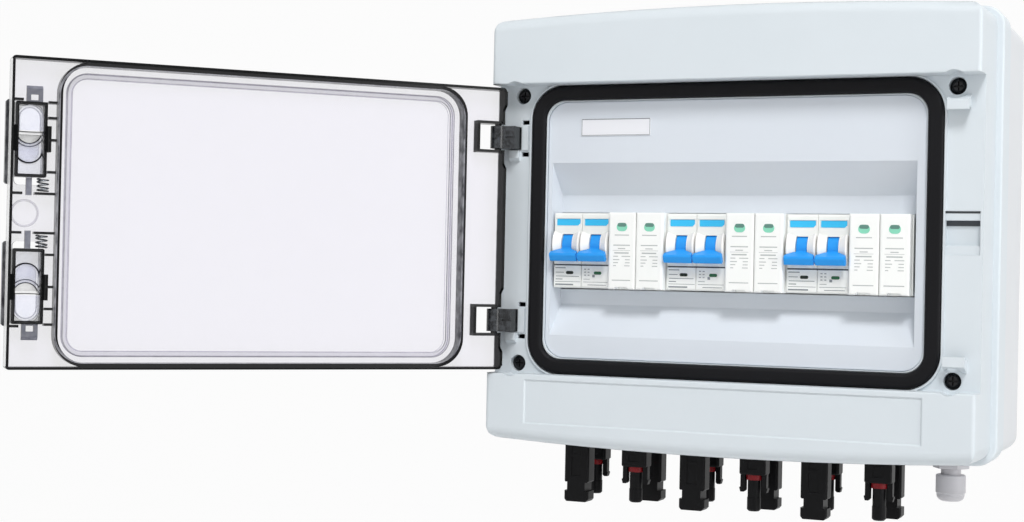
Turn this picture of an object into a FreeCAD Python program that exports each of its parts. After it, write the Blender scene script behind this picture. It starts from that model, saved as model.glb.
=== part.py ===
import FreeCAD, Part
import math
import os
import re
import Sketcher
from FreeCAD import Vector

# Solar combiner box: a wall box with a clear swing door, a row of breakers and plug-in surge
# cartridges on a rail, and panel connectors and a cable gland through its lower wall.
# Millimetres. X runs to the right seen from the front, Y into the wall and Z up. The origin is the
# middle of the back face, so a depth d from the wall lies at y = -d.

# Driving sizes: name, value, meaning
SIZES = [
    # box mouldings
    ("wall", 3.0, "wall of the rear box"),
    ("skin", 2.5, "wall of the front frame"),
    ("base_half_x", 148, "rear box, half width"),
    ("base_half_z", 128, "rear box, half height"),
    ("base_corner", 9.5, "rear box, corner radius"),
    ("seam", 70, "depth of the joint between box and frame"),
    ("flange_lip", 2, "how far the frame flange stands outside the box"),
    ("flange_depth", 24, "depth of the frame flange"),
    ("flange_round", 1.4, "rounding of the flange edge"),
    ("front", 140, "depth of the band fronts"),
    ("front_half_x", 144.75, "front of the frame, half width"),
    ("front_half_z", 126.2, "front of the frame, half height"),
    ("front_corner", 8, "front of the frame, corner radius"),
    ("crown", 3.9, "bow of the frame's upper and lower edges"),
    ("front_draft", 1.5, "draft of the frame sides, degrees"),
    ("side_round", 2.2, "rounding of the front side edges"),
    ("band_round", 7, "rounding along the band's outer edge"),
    ("band_edge", 87, "inner edge of the bands, height from the middle"),
    ("band_crease", 1.0, "rounding along the band's inner edge"),
    ("recess", 14, "depth of the door recess below the bands"),
    ("panel_drop", 0.8, "depth of the label field on the lower band"),
    ("panel_slope", 45, "slope of the label field's edges, degrees"),
    ("panel_left", -119, "label field, left edge"),
    ("panel_right", 115.5, "label field, right edge"),
    ("panel_top", -91, "label field, top edge"),
    ("panel_bottom", -115.8, "label field, bottom edge"),
    # door seal in its channel
    ("seal_x", 118.8, "seal centre line, half width"),
    ("seal_z", 82.4, "seal centre line, half height"),
    ("seal_width", 8.8, "width of the foam seal"),
    ("seal_height", 3.7, "height of the foam seal"),
    ("seal_corner", 16, "seal centre line, corner radius"),
    ("seal_round", 2.2, "rounding of the foam seal"),
    ("channel_depth", 1.0, "depth of the seal channel"),
    ("channel_gap", 0.3, "side gap of the seal in its channel"),
    ("rim_height", 1.2, "height of the rib outside the seal"),
    ("rim_width", 1.2, "width of the rib outside the seal"),
    # cover screws
    ("cover_screw_x", 129.9, "cover screws, half spacing across"),
    ("cover_screw_z", 81.2, "cover screws, half spacing up"),
    ("screw_well", 4.9, "radius of the screw wells"),
    ("screw_well_depth", 6, "depth of the screw wells"),
    ("well_wall", 2.2, "wall of the screw wells"),
    ("well_flare", 7.4, "radius of the driver relief in the bands"),
    ("screw_r", 2.0, "radius of the cover screws"),
    ("screw_head_r", 4.6, "head radius of the cover screws"),
    ("screw_head", 3.6, "head height of the cover screws"),
    ("screw_length", 64, "length of the cover screws under the head"),
    ("screw_gap", 0.3, "clearance of the screws in their holes"),
    ("pilot_gap", 0.05, "clearance of the screws in their pilots"),
    ("post_r", 6.5, "radius of the screw posts"),
    ("post_gap", 0.3, "gap between screw well and post"),
    # wall fixing
    ("wall_hole_x", 125, "wall holes, half spacing across"),
    ("wall_hole_z", 105, "wall holes, half spacing up"),
    ("wall_hole_r", 2.75, "radius of the wall holes"),
    ("wall_boss_r", 7, "radius of the wall hole bosses"),
    ("wall_boss", 3, "height of the wall hole bosses"),
    # rear box seal
    ("groove_inset", 0.8, "land between the seal groove and the outside of the box"),
    ("groove_width", 1.4, "width of the seal groove in the box rim"),
    ("groove_depth", 1.6, "depth of that groove"),
    ("groove_gap", 0.1, "side gap of the seal in that groove"),
    # rail
    ("row_x", -1.3, "middle of the device row"),
    ("row_z", -12.25, "height of the device row"),
    ("module", 18, "width of one module"),
    ("rail_front", 60, "depth of the rail flanges"),
    ("rail_half", 17.5, "rail, half height over the flanges"),
    ("rail_web", 12.5, "rail, half height of the channel"),
    ("rail_height", 7.5, "rail, depth of the channel"),
    ("rail_sheet", 1.0, "rail sheet thickness"),
    ("rail_length", 216, "length of the rail"),
    ("rail_post_x", 96, "rail posts, half spacing"),
    ("rail_post_half", 8, "rail posts, half width"),
    ("rail_screw_r", 2.0, "rail screw radius"),
    ("rail_screw_head_r", 3.7, "rail screw head radius"),
    ("rail_screw_head", 2.4, "rail screw head height"),
    ("rail_screw_length", 14, "rail screw length under the head"),
    # devices on the rail
    ("device_gap", 0.4, "gap between neighbouring devices"),
    ("device_half", 40, "devices, half height"),
    ("device_back", 54.5, "depth of the device backs"),
    ("shoulder", 104, "depth of the device shoulders"),
    ("nose_half", 22.6, "device nose, half height"),
    ("nose", 122, "depth of the breaker nose"),
    ("nose_round", 1.5, "rounding of the nose ends"),
    ("hook_reach", 1.7, "grip of the hooks behind the rail"),
    ("hook_gap", 0.3, "clearance of the hooks round the rail"),
    ("clip_half_x", 6.0, "rail clip, half width"),
    ("clip_thick", 3.2, "rail clip thickness"),
    ("clip_tab", 4.0, "pull tab of the rail clip below the device"),
    ("terminal_r", 3.4, "radius of the terminal screw wells"),
    ("terminal_z", 31.5, "terminal screws, height from the row middle"),
    ("terminal_depth", 16, "depth of the terminal screw wells"),
    ("terminal_screw_r", 2.9, "radius of the terminal screws"),
    ("terminal_screw_height", 5, "height of the terminal screws"),
    ("wire_width", 8, "width of the wire entries"),
    ("wire_depth", 20, "depth of the wire entries"),
    # breaker handles
    ("pivot_depth", 115.5, "depth of the handle pivot"),
    ("pivot_z", 3.0, "handle pivot above the row middle"),
    ("handle_down", 27, "handle below level when off, degrees"),
    ("hub_r", 8.7, "radius of the handle hub"),
    ("hub_half", 3.1, "handle hub, half width"),
    ("hub_gap", 0.35, "side gap of the hub in its slot"),
    ("cheek_r", 9.6, "radius of the cheeks beside the hub"),
    ("cheek_half", 7.4, "cheeks, half width"),
    ("paddle_gap", 0.3, "clearance of the paddle over the cheeks"),
    ("paddle_reach", 17.0, "reach of the paddle from the pivot"),
    ("paddle_flare", 13.6, "distance from the pivot where the paddle has its full width"),
    ("paddle_half", 8.55, "paddle, half width"),
    ("paddle_thick", 5.4, "paddle thickness"),
    ("paddle_round", 1.4, "rounding of the paddle"),
    ("tie_r", 1.2, "radius of the bar that ties two paddles"),
    ("axle_r", 1.5, "radius of the handle axle"),
    ("axle_gap", 0.05, "running clearance of the handle axle"),
    ("axle_half", 5.2, "handle axle, half length"),
    ("slot_high", 6.8, "handle slot, end above the pivot"),
    ("slot_low", 7.2, "handle slot, end below the pivot"),
    ("tag_half", 7.9, "tag window, half width"),
    ("tag_low", 14.8, "tag window, lower edge above the row middle"),
    ("tag_high", 19.2, "tag window, upper edge above the row middle"),
    ("tag_depth", 0.6, "depth of the tag window"),
    ("line_z", -8.7, "groove under the handles, from the row middle"),
    ("line_width", 0.9, "width of that groove"),
    ("pole_groove", 0.5, "groove between two poles"),
    # surge protection
    ("surge_floor", 76, "depth of the floor that the cartridges plug on"),
    ("surge_cheek", 0.6, "side cheeks of the surge base"),
    ("surge_cheek_front", 121, "depth of the side cheeks"),
    ("plug_gap", 0.35, "clearance of the cartridges"),
    ("cartridge_front", 127.6, "depth of the cartridge fronts"),
    ("cartridge_round", 1.2, "rounding of the cartridge front"),
    ("blade_length", 10, "length of the contact blades"),
    ("blade_width", 6, "width of the contact blades"),
    ("blade_thick", 1.0, "thickness of the contact blades"),
    ("blade_z", 10, "blades, height from the row middle"),
    ("blade_gap", 0.3, "clearance of the blades in their slots"),
    ("grip_half", 3.6, "finger notch, half width"),
    ("grip_height", 1.4, "height of the finger notch"),
    ("grip_depth", 7, "depth of the finger notch"),
    # inner mask
    ("mask_front", 124, "depth of the mask front"),
    ("mask_sheet", 2.0, "mask sheet thickness"),
    ("mask_half_x", 113.2, "mask panel, half width"),
    ("mask_half_z", 76.8, "mask panel, half height"),
    ("mask_corner", 12, "mask corner radius"),
    ("mask_gap", 0.4, "gap round the mask panel in the frame"),
    ("mask_flange", 6, "flange of the mask behind the frame"),
    ("seat_gap", 0.2, "gap of the mask flange behind the frame"),
    ("trough_left", -110.6, "trough mouth, left edge"),
    ("trough_right", 108.2, "trough mouth, right edge"),
    ("trough_top", 40.4, "trough mouth, top edge"),
    ("trough_bottom", -63.5, "trough mouth, bottom edge"),
    ("trough_depth", 15, "depth of the trough"),
    ("trough_side", 0.5, "slope of the trough ends"),
    ("trough_slope", 18.7, "slope of the trough top and bottom"),
    ("window_gap", 0.4, "clearance of the mask window round the devices"),
    ("label_left", -92.3, "label strip, left edge"),
    ("label_width", 43.8, "label strip, width"),
    ("label_low", 56.5, "label strip, lower edge"),
    ("label_height", 10.3, "label strip, height"),
    ("label_sheet", 0.5, "label strip thickness"),
    # door
    ("door_open", 133, "angle of the door at rest, degrees"),
    ("door_half_x", 145, "door, half width"),
    ("door_half_z", 85, "door, half height"),
    ("door_sheet", 3.0, "door sheet thickness"),
    ("door_corner", 2.2, "door corner radius"),
    ("door_round", 1.5, "rounding of the door's front edge"),
    ("door_rim", 9.5, "height of the rims at the door's two sides"),
    ("door_rim_width", 1.6, "thickness of that rim"),
    ("rib_width", 2.2, "thickness of the rib that presses the seal"),
    ("rib_gap", 0.3, "gap between that rib and the foam"),
    ("ring_x", 112.8, "raised inner ring, half width"),
    ("ring_z", 76.6, "raised inner ring, half height"),
    ("ring_width", 2.4, "width of the inner ring"),
    ("ring_height", 0.8, "height of the inner ring"),
    ("ring_corner", 10, "corner radius of the inner ring"),
    ("stiffener", 1.4, "thickness of the small stiffening ribs"),
    ("stiffener_height", 6, "height of the small stiffening ribs"),
    ("stop_z", 10.7, "spring stop ribs, height from the middle"),
    ("boss_x", 135.6, "round boss of the door, from the middle"),
    ("boss_r", 7.4, "radius of that boss"),
    ("grip_reach", 1.8, "reach of the finger grips beside the latches"),
    ("grip_low", 15.5, "finger grips, end toward the middle"),
    ("grip_high", 61.5, "finger grips, far end"),
    ("grip_thick", 4.0, "thickness of the finger grips"),
    ("grip_bevel", 1.0, "bevel of the finger grips"),
    # hinges
    ("hinge_x", -142.3, "hinge axis"),
    ("hinge_depth", 135.2, "depth of the hinge axis"),
    ("hinge_z", 55.3, "hinges, height from the middle"),
    ("hinge_half", 6.8, "hinge clip, half length"),
    ("hinge_bar_r", 2.0, "radius of the door's hinge bar"),
    ("hinge_gap", 0.05, "running clearance of the hinge"),
    ("hinge_clip_r", 4.6, "outer radius of the hinge clip"),
    ("hinge_mouth", 3.2, "mouth of the hinge clip"),
    ("hinge_foot_x", 10, "width of the hinge clip's foot"),
    ("hinge_window", 1.0, "end clearance of the clip in the door"),
    ("hinge_window_x", -128.8, "side of the door's hinge cut-outs"),
    ("hinge_wall", 1.7, "wall round the hinge cut-outs"),
    ("hinge_wall_height", 7.5, "height of that wall"),
    ("ear_r", 4.2, "radius of the ears that hold the hinge bar"),
    ("rim_relief", 16, "edge rim cut back beside a hinge, half length"),
    ("rim_relief_depth", 131.0, "depth of the rim where it is cut back"),
    # latches
    ("latch_left", 125.6, "latch, inner side"),
    ("latch_right", 142.5, "latch, outer side"),
    ("latch_low", 19.3, "latch, end toward the middle"),
    ("latch_high", 60.3, "latch, end toward the keeper"),
    ("latch_back", 129.0, "depth of the latch's inner face"),
    ("latch_gap", 0.25, "gap of the latch behind the door sheet"),
    ("latch_wall", 1.8, "walls of the latch"),
    ("latch_floor", 1.6, "floor of the latch"),
    ("latch_round", 1.0, "rounding of the latch corners"),
    ("scoop_left", 127.8, "thumb scoop, inner side"),
    ("scoop_right", 141.2, "thumb scoop, outer side"),
    ("scoop_low", 43.5, "thumb scoop, gripping edge"),
    ("scoop_high", 58.3, "thumb scoop, far end"),
    ("scoop_depth", 5.5, "depth of the thumb scoop"),
    ("scoop_wall", 1.2, "wall of the thumb scoop"),
    ("dish_step", 7.8, "step between the two arched ridges of a latch"),
    ("dish_line", 0.8, "width of the arched ridges"),
    ("dish_height", 0.9, "height of the arched ridges"),
    ("cut_low", 15.4, "thumb opening in the door, end toward the middle"),
    ("cut_gap", 0.4, "thumb opening beyond the scoop"),
    ("cut_corner", 2.5, "corner radius of the thumb opening"),
    ("latch_travel", 5.5, "travel of the latches"),
    ("hook_left", 128.2, "latch hook, inner side"),
    ("hook_right", 136.8, "latch hook, outer side"),
    ("hook_tip", 69.0, "end of the latch hook"),
    ("hook_thick", 2.7, "thickness of the latch hook"),
    ("hook_ramp", 1.6, "ramp on the end of the hook"),
    ("stem_left", 133.0, "latch stem, inner side"),
    ("stem_width", 3.0, "width of the latch stem"),
    ("stem_end", 9.6, "end of the latch stem"),
    ("guide_low", 33.2, "latch guides, end toward the middle"),
    ("guide_high", 47.3, "latch guides, end toward the keeper"),
    ("guide_thick", 1.6, "thickness of the latch guides"),
    ("guide_lip", 1.0, "lip of the guides over the latch"),
    ("guide_gap", 0.4, "side gap of the latch in its guides"),
    ("spring_r", 3.4, "radius of the latch springs"),
    ("spring_wire", 0.45, "wire radius of the latch springs"),
    ("spring_pitch", 2.1, "pitch of the latch springs"),
    ("spring_x", 126.9, "latch springs, from the middle"),
    # keepers and lock recess on the frame
    ("keeper_left", 125.5, "keeper, inner side"),
    ("keeper_right", 137.5, "keeper, outer side"),
    ("keeper_edge", 67.5, "free edge of the keeper"),
    ("keeper_flat", 5.6, "height of the keeper's front"),
    ("keeper_end", 76.5, "far end of the keeper's slope"),
    ("keeper_sheet", 2.0, "thickness of the keeper"),
    ("keeper_gap", 0.3, "gap between keeper and hook"),
    ("lock_left", 123.9, "lock recess, inner side"),
    ("lock_right", 143.4, "lock recess, outer side"),
    ("lock_high", 12.3, "lock recess, upper edge"),
    ("lock_low", -11.8, "lock recess, lower edge"),
    ("lock_drop", 1.0, "depth of the shallow lock recess"),
    ("lock_deep_high", 7.2, "deep lock recess, upper edge"),
    ("lock_deep_low", -6.6, "deep lock recess, lower edge"),
    ("lock_deep", 4.5, "depth of the deep lock recess"),
    # panel connectors
    ("connector_x", -114, "first connector"),
    ("connector_pitch", 38.3, "pitch of the connectors"),
    ("row_front", 60, "depth of the front connector row"),
    ("row_back", 30, "depth of the back connector row"),
    ("thread_r", 6.0, "radius of the connector threads"),
    ("thread_length", 15, "length of the threads above the lower face"),
    ("hole_gap", 0.15, "clearance of the threads in the lower wall"),
    ("shell_half_x", 8.2, "connector housing, half width"),
    ("shell_half_y", 6.0, "connector housing, half depth"),
    ("shell_round", 1.6, "rounding of the connector housings"),
    ("socket_neck", 30.6, "socket, length down to its notches"),
    ("notch_height", 5.5, "height of the socket notches"),
    ("notch_depth", 2.2, "depth of the socket notches"),
    ("socket_length", 42.9, "length of the sockets"),
    ("shell_panel", 3.2, "recess in the front and back of a housing, half width"),
    ("shell_panel_drop", 0.5, "depth of that recess"),
    ("shell_rib", 1.6, "height of the bar across that recess"),
    ("socket_chamfer", 1.8, "chamfer of the socket mouth"),
    ("socket_bore", 4.5, "bore of the sockets"),
    ("socket_bore_length", 24, "depth of that bore"),
    ("plug_collar", 18.7, "length of the plug's collar"),
    ("plug_r", 4.2, "radius of the plug's nose"),
    ("plug_land", 8.4, "length of the land at the end of the plug's nose"),
    ("plug_waist", 0.25, "how far the nose stands in above its land"),
    ("plug_length", 41, "length of the plugs"),
    ("plug_tip", 1.0, "chamfer of the plug's nose"),
    ("contact_r", 2.2, "radius of the contact hole in a plug"),
    ("contact_depth", 14, "depth of that hole"),
    ("prong_x", 6.7, "latch prongs of a plug, from its axis"),
    ("prong_half", 1.5, "prongs, half thickness"),
    ("prong_half_y", 2.2, "prongs, half width"),
    ("prong_length", 10.8, "length of the prongs"),
    ("prong_barb", 0.7, "barb of the prongs"),
    ("ring_r", 4.9, "radius of the red seal rings"),
    ("ring_thick", 3.2, "height of the red seal rings"),
    ("nut_r", 8.6, "corner radius of the connector nuts"),
    ("nut_height", 5, "height of the connector nuts"),
    # cable gland
    ("gland_x", 117, "gland, from the middle"),
    ("gland_y", 47.5, "gland, depth from the wall"),
    ("gland_thread_r", 6.25, "gland thread radius"),
    ("gland_flange_r", 10.6, "corner radius of the gland's hexagon"),
    ("gland_flange", 8.5, "height of the gland's hexagon"),
    ("gland_neck_r", 5.8, "gland neck radius"),
    ("gland_neck", 19, "gland neck, length below the box"),
    ("gland_cap_r", 8.7, "radius of the gland cap"),
    ("gland_cap_top", 12.3, "gland cap, top below the box"),
    ("gland_cap_end", 28, "gland cap, end below the box"),
    ("gland_cap_step", 23.4, "gland cap, step below the box"),
    ("gland_step", 0.6, "how far the cap stands in below its step"),
    ("gland_dome", 3.8, "rounding of the gland cap"),
    ("gland_bore", 3.0, "bore of the gland's seal"),
    ("gland_mouth", 3.6, "mouth of the gland cap"),
    ("gland_gap", 0.2, "clearance between gland pieces"),
    # earth bar
    ("earth_z", -98, "earth bar, height"),
    ("earth_x", 20, "earth bar, middle"),
    ("earth_half", 32, "earth bar, half length"),
    ("earth_height", 8, "earth bar, height of its section"),
    ("earth_thick", 6.5, "earth bar, depth of its section"),
    ("earth_depth", 18, "earth bar, depth of its back"),
    ("earth_hole_r", 2.2, "radius of its wire holes"),
    ("earth_screw_r", 1.9, "radius of its clamp screws"),
    ("earth_pitch", 8, "pitch of its wire holes"),
]

DEVICE_PAIRS = 3
CONNECTORS = 6
EARTH_WIRES = 6

doc = FreeCAD.newDocument("combiner_box")
sheet = doc.addObject("Spreadsheet::Sheet", "sizes")
for row, (alias, number, meaning) in enumerate(SIZES, start=1):
    sheet.set("A%d" % row, meaning)
    sheet.set("B%d" % row, str(number))
    sheet.setAlias("B%d" % row, alias)
doc.recompute()
KNOWN = {alias for alias, number, meaning in SIZES}
nodes = {}


# Helpers: expressions, sketches and features

def expr(text):
    """Put the sheet's name before each size in an expression."""
    return re.sub(r"[a-z]\w*", lambda m: "sizes." + m[0] if m[0] in KNOWN else m[0], str(text))


def num(text):
    return float(sheet.evalExpression(expr(text)))


def bind(item, prop, text):
    item.setExpression(prop, expr(text))


def place(item, x="0", y="0", z="0"):
    for axis, text in zip("xyz", (x, y, z)):
        bind(item, "Placement.Base." + axis, text)


def turn(item, axis, degrees):
    item.Placement.Rotation = FreeCAD.Rotation(axis, 0)
    bind(item, "Placement.Rotation.Angle", degrees)


def node(name, item):
    item.Label = name
    nodes[name] = item
    return item


def new_body(name):
    return doc.addObject("PartDesign::Body", name)


def new_sketch(body, plane, offset="0"):
    """A sketch on one of the body's own planes: XZ faces -Y, XY faces +Z and YZ faces +X."""
    item = body.newObject("Sketcher::SketchObject", "sketch")
    support = [o for o in body.Origin.OriginFeatures if o.Role == plane + "_Plane"][0]
    item.AttachmentSupport = [(support, "")]
    item.MapMode = "FlatFace"
    bind(item, "AttachmentOffset.Base.z", offset)
    return item


def hold(item, kind, *where, size):
    index = item.addConstraint(Sketcher.Constraint(kind, *where, num(size)))
    item.setExpression("Constraints[%d]" % index, expr(size))


def polygon(item, points):
    """A closed outline whose every corner is held from the origin by two sizes."""
    first = item.GeometryCount
    flat = [Vector(num(x), num(y), 0) for x, y in points]
    for i, start in enumerate(flat):
        item.addGeometry(Part.LineSegment(start, flat[(i + 1) % len(flat)]))
    for i, (x, y) in enumerate(points):
        after = first + (i + 1) % len(flat)
        item.addConstraint(Sketcher.Constraint("Coincident", first + i, 2, after, 1))
        hold(item, "DistanceX", -1, 1, first + i, 1, size=x)
        hold(item, "DistanceY", -1, 1, first + i, 1, size=y)
    return item


def rectangle(item, left, right, low, high):
    return polygon(item, [(left, low), (right, low), (right, high), (left, high)])


def circle(item, x, y, radius):
    index = item.addGeometry(Part.Circle(Vector(num(x), num(y), 0), Vector(0, 0, 1), num(radius)))
    hold(item, "DistanceX", -1, 1, index, 3, size=x)
    hold(item, "DistanceY", -1, 1, index, 3, size=y)
    hold(item, "Radius", index, size=radius)
    return item


def rounded(item, half_x, half_y, corner, x="0", y="0"):
    """A rectangle with round corners: each arc's middle and radius are held."""
    first = item.GeometryCount
    a, b, r = num(half_x), num(half_y), num(corner)
    cx, cy = num(x), num(y)
    up = Vector(0, 0, 1)
    sides = [(1, 1, 0), (-1, 1, 90), (-1, -1, 180), (1, -1, 270)]
    for sx, sy, start in sides:
        middle = Vector(cx + sx * (a - r), cy + sy * (b - r), 0)
        turned = FreeCAD.Rotation(up, start).multVec(Vector(r, 0, 0))
        ended = FreeCAD.Rotation(up, start + 90).multVec(Vector(r, 0, 0))
        half = FreeCAD.Rotation(up, start + 45).multVec(Vector(r, 0, 0))
        item.addGeometry(Part.Arc(middle + turned, middle + half, middle + ended))
    for i in range(4):
        item.addGeometry(Part.LineSegment(
            item.Geometry[first + i].EndPoint, item.Geometry[first + (i + 1) % 4].StartPoint))
    for i, (sx, sy, start) in enumerate(sides):
        arc, line = first + i, first + 4 + i
        item.addConstraint(Sketcher.Constraint("Tangent", arc, 2, line, 1))
        item.addConstraint(Sketcher.Constraint("Tangent", line, 2, first + (i + 1) % 4, 1))
        hold(item, "DistanceX", -1, 1, arc, 3, size="%s + %d * ((%s) - (%s))" % (x, sx, half_x, corner))
        hold(item, "DistanceY", -1, 1, arc, 3, size="%s + %d * ((%s) - (%s))" % (y, sy, half_y, corner))
        hold(item, "Radius", arc, size=corner)
    return item


def crown_radius(half_x, corner):
    """Radius of a bowed edge that runs into the corner arcs without a kink."""
    return "(%s) + (((%s) - (%s)) ^ 2 + crown ^ 2) / (2 * crown)" % (corner, half_x, corner)


def crowned(item, half_x, half_y, corner):
    """A rectangle with round corners whose upper and lower edges bow outward."""
    first = item.GeometryCount
    a, b, r = num(half_x), num(half_y), num(corner)
    bow = crown_radius(half_x, corner)
    big = num(bow)
    lean = math.asin((a - r) / (big - r))
    middle = b + num("crown") - big
    quarter = math.pi / 2

    def sweep(x, y, radius, start, end):
        ring = Part.Circle(Vector(x, y, 0), Vector(0, 0, 1), radius)
        item.addGeometry(Part.ArcOfCircle(ring, start, end))

    sweep(a - r, b - r, r, 0, quarter - lean)
    sweep(0, middle, big, quarter - lean, quarter + lean)
    sweep(r - a, b - r, r, quarter + lean, 2 * quarter)
    item.addGeometry(Part.LineSegment(Vector(-a, b - r, 0), Vector(-a, r - b, 0)))
    sweep(r - a, r - b, r, 2 * quarter, 3 * quarter - lean)
    sweep(0, -middle, big, 3 * quarter - lean, 3 * quarter + lean)
    sweep(a - r, r - b, r, 3 * quarter + lean, 4 * quarter)
    item.addGeometry(Part.LineSegment(Vector(a, r - b, 0), Vector(a, b - r, 0)))
    for i in range(8):
        item.addConstraint(Sketcher.Constraint("Tangent", first + i, 2, first + (i + 1) % 8, 1))
    for i, sx, sy in ((0, 1, 1), (2, -1, 1), (4, -1, -1), (6, 1, -1)):
        hold(item, "DistanceX", -1, 1, first + i, 3, size="%d * ((%s) - (%s))" % (sx, half_x, corner))
        hold(item, "DistanceY", -1, 1, first + i, 3, size="%d * ((%s) - (%s))" % (sy, half_y, corner))
        hold(item, "Radius", first + i, size=corner)
    for i in (1, 5):
        hold(item, "Radius", first + i, size=bow)
    return item


def arch(item, x, end, middle, radius):
    """A straight end and two straight sides closed by a half circle about a middle on the line x."""
    first = item.GeometryCount
    mx, mz, low = num(x), num(middle), num(end)
    way = 1 if mz > low else -1
    reach = way * num(radius)
    corners = [Vector(mx - reach, mz, 0), Vector(mx - reach, low, 0),
               Vector(mx + reach, low, 0), Vector(mx + reach, mz, 0)]
    item.addGeometry(Part.Arc(corners[3], Vector(mx, mz + reach, 0), corners[0]))
    for start, stop in zip(corners, corners[1:]):
        item.addGeometry(Part.LineSegment(start, stop))
    item.addConstraint(Sketcher.Constraint("Tangent", first, 2, first + 1, 1))
    item.addConstraint(Sketcher.Constraint("Coincident", first + 1, 2, first + 2, 1))
    item.addConstraint(Sketcher.Constraint("Coincident", first + 2, 2, first + 3, 1))
    item.addConstraint(Sketcher.Constraint("Tangent", first + 3, 2, first, 1))
    hold(item, "DistanceX", -1, 1, first, 3, size=x)
    hold(item, "DistanceY", -1, 1, first, 3, size=middle)
    hold(item, "Radius", first, size=radius)
    for line, side in ((first + 2, -way), (first + 3, way)):
        hold(item, "DistanceX", -1, 1, line, 1, size="%s + %d * (%s)" % (x, side, radius))
        hold(item, "DistanceY", -1, 1, line, 1, size=end)
    return item


def pad(body, item, length, back=False, middle=False, draft=None):
    made = body.newObject("PartDesign::Pad", "pad")
    made.Profile = item
    bind(made, "Length", length)
    made.Reversed = back
    if middle:
        made.SideType = "Symmetric"
    if draft:
        bind(made, "TaperAngle", draft)
    body.Tip = made
    return made


def pocket(body, item, length, back=False, middle=False):
    """Cuts against the sketch's own direction, or along it with back."""
    doc.recompute()
    before = body.Shape.Volume
    made = body.newObject("PartDesign::Pocket", "pocket")
    made.Profile = item
    bind(made, "Length", length)
    made.Reversed = back
    if middle:
        made.SideType = "Symmetric"
    body.Tip = made
    doc.recompute()
    assert body.Shape.Volume < before, body.Label + ": a pocket cuts nothing"
    return made


def revolve(body, item, axis="Z"):
    made = body.newObject("PartDesign::Revolution", "revolution")
    made.Profile = item
    made.ReferenceAxis = (
        [o for o in body.Origin.OriginFeatures if o.Role == axis + "_Axis"][0], [""])
    made.Angle = 360
    body.Tip = made
    return made


def edges_of(shape, wanted):
    return ["Edge%d" % (i + 1) for i, edge in enumerate(shape.Edges) if wanted(edge)]


def round_edges(body, radius, wanted, kind="Fillet"):
    """Rounds or chamfers the edges of the body so far that a test picks by where they lie."""
    doc.recompute()
    base = body.Tip
    names = edges_of(base.Shape, wanted)
    assert names, body.Label + ": no edge to round"
    made = body.newObject("PartDesign::" + kind, kind.lower())
    made.Base = (base, names)
    bind(made, "Radius" if kind == "Fillet" else "Size", radius)
    body.Tip = made
    return made


def lies(edge, x=None, y=None, z=None, slack=0.01):
    """True if the whole edge lies on the given planes."""
    box = edge.BoundBox
    spans = ((x, box.XMin, box.XMax), (y, box.YMin, box.YMax), (z, box.ZMin, box.ZMax))
    return all(
        at is None or (abs(low - at) < slack and abs(high - at) < slack)
        for at, low, high in spans)


def block(name, x, y, z, length, width, height):
    """A box from its lowest corner and its three sides."""
    made = doc.addObject("Part::Box", name)
    for prop, text in (("Length", length), ("Width", width), ("Height", height)):
        bind(made, prop, text)
    place(made, x, y, z)
    return made


def rod(name, radius, length, x="0", y="0", z="0", along=None):
    """A cylinder along Z, or turned to run along +X or +Y."""
    made = doc.addObject("Part::Cylinder", name)
    bind(made, "Radius", radius)
    bind(made, "Height", length)
    if along == "X":
        made.Placement.Rotation = FreeCAD.Rotation(Vector(0, 1, 0), 90)
    if along == "Y":
        made.Placement.Rotation = FreeCAD.Rotation(Vector(1, 0, 0), -90)
    place(made, x, y, z)
    return made


def fuse(name, items):
    made = doc.addObject("Part::MultiFuse", name)
    made.Shapes = items
    return made


def common(name, items):
    made = doc.addObject("Part::MultiCommon", name)
    made.Shapes = items
    return made


def cut(name, base, tools):
    made = doc.addObject("Part::Cut", name)
    made.Base = base
    made.Tool = tools[0] if len(tools) == 1 else fuse(name + "_tools", tools)
    return made


def group(name, items):
    made = doc.addObject("Part::Compound", name)
    made.Links = items
    return made


CORNERS = [(1, 1), (-1, 1), (-1, -1), (1, -1)]


# Rear box

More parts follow.
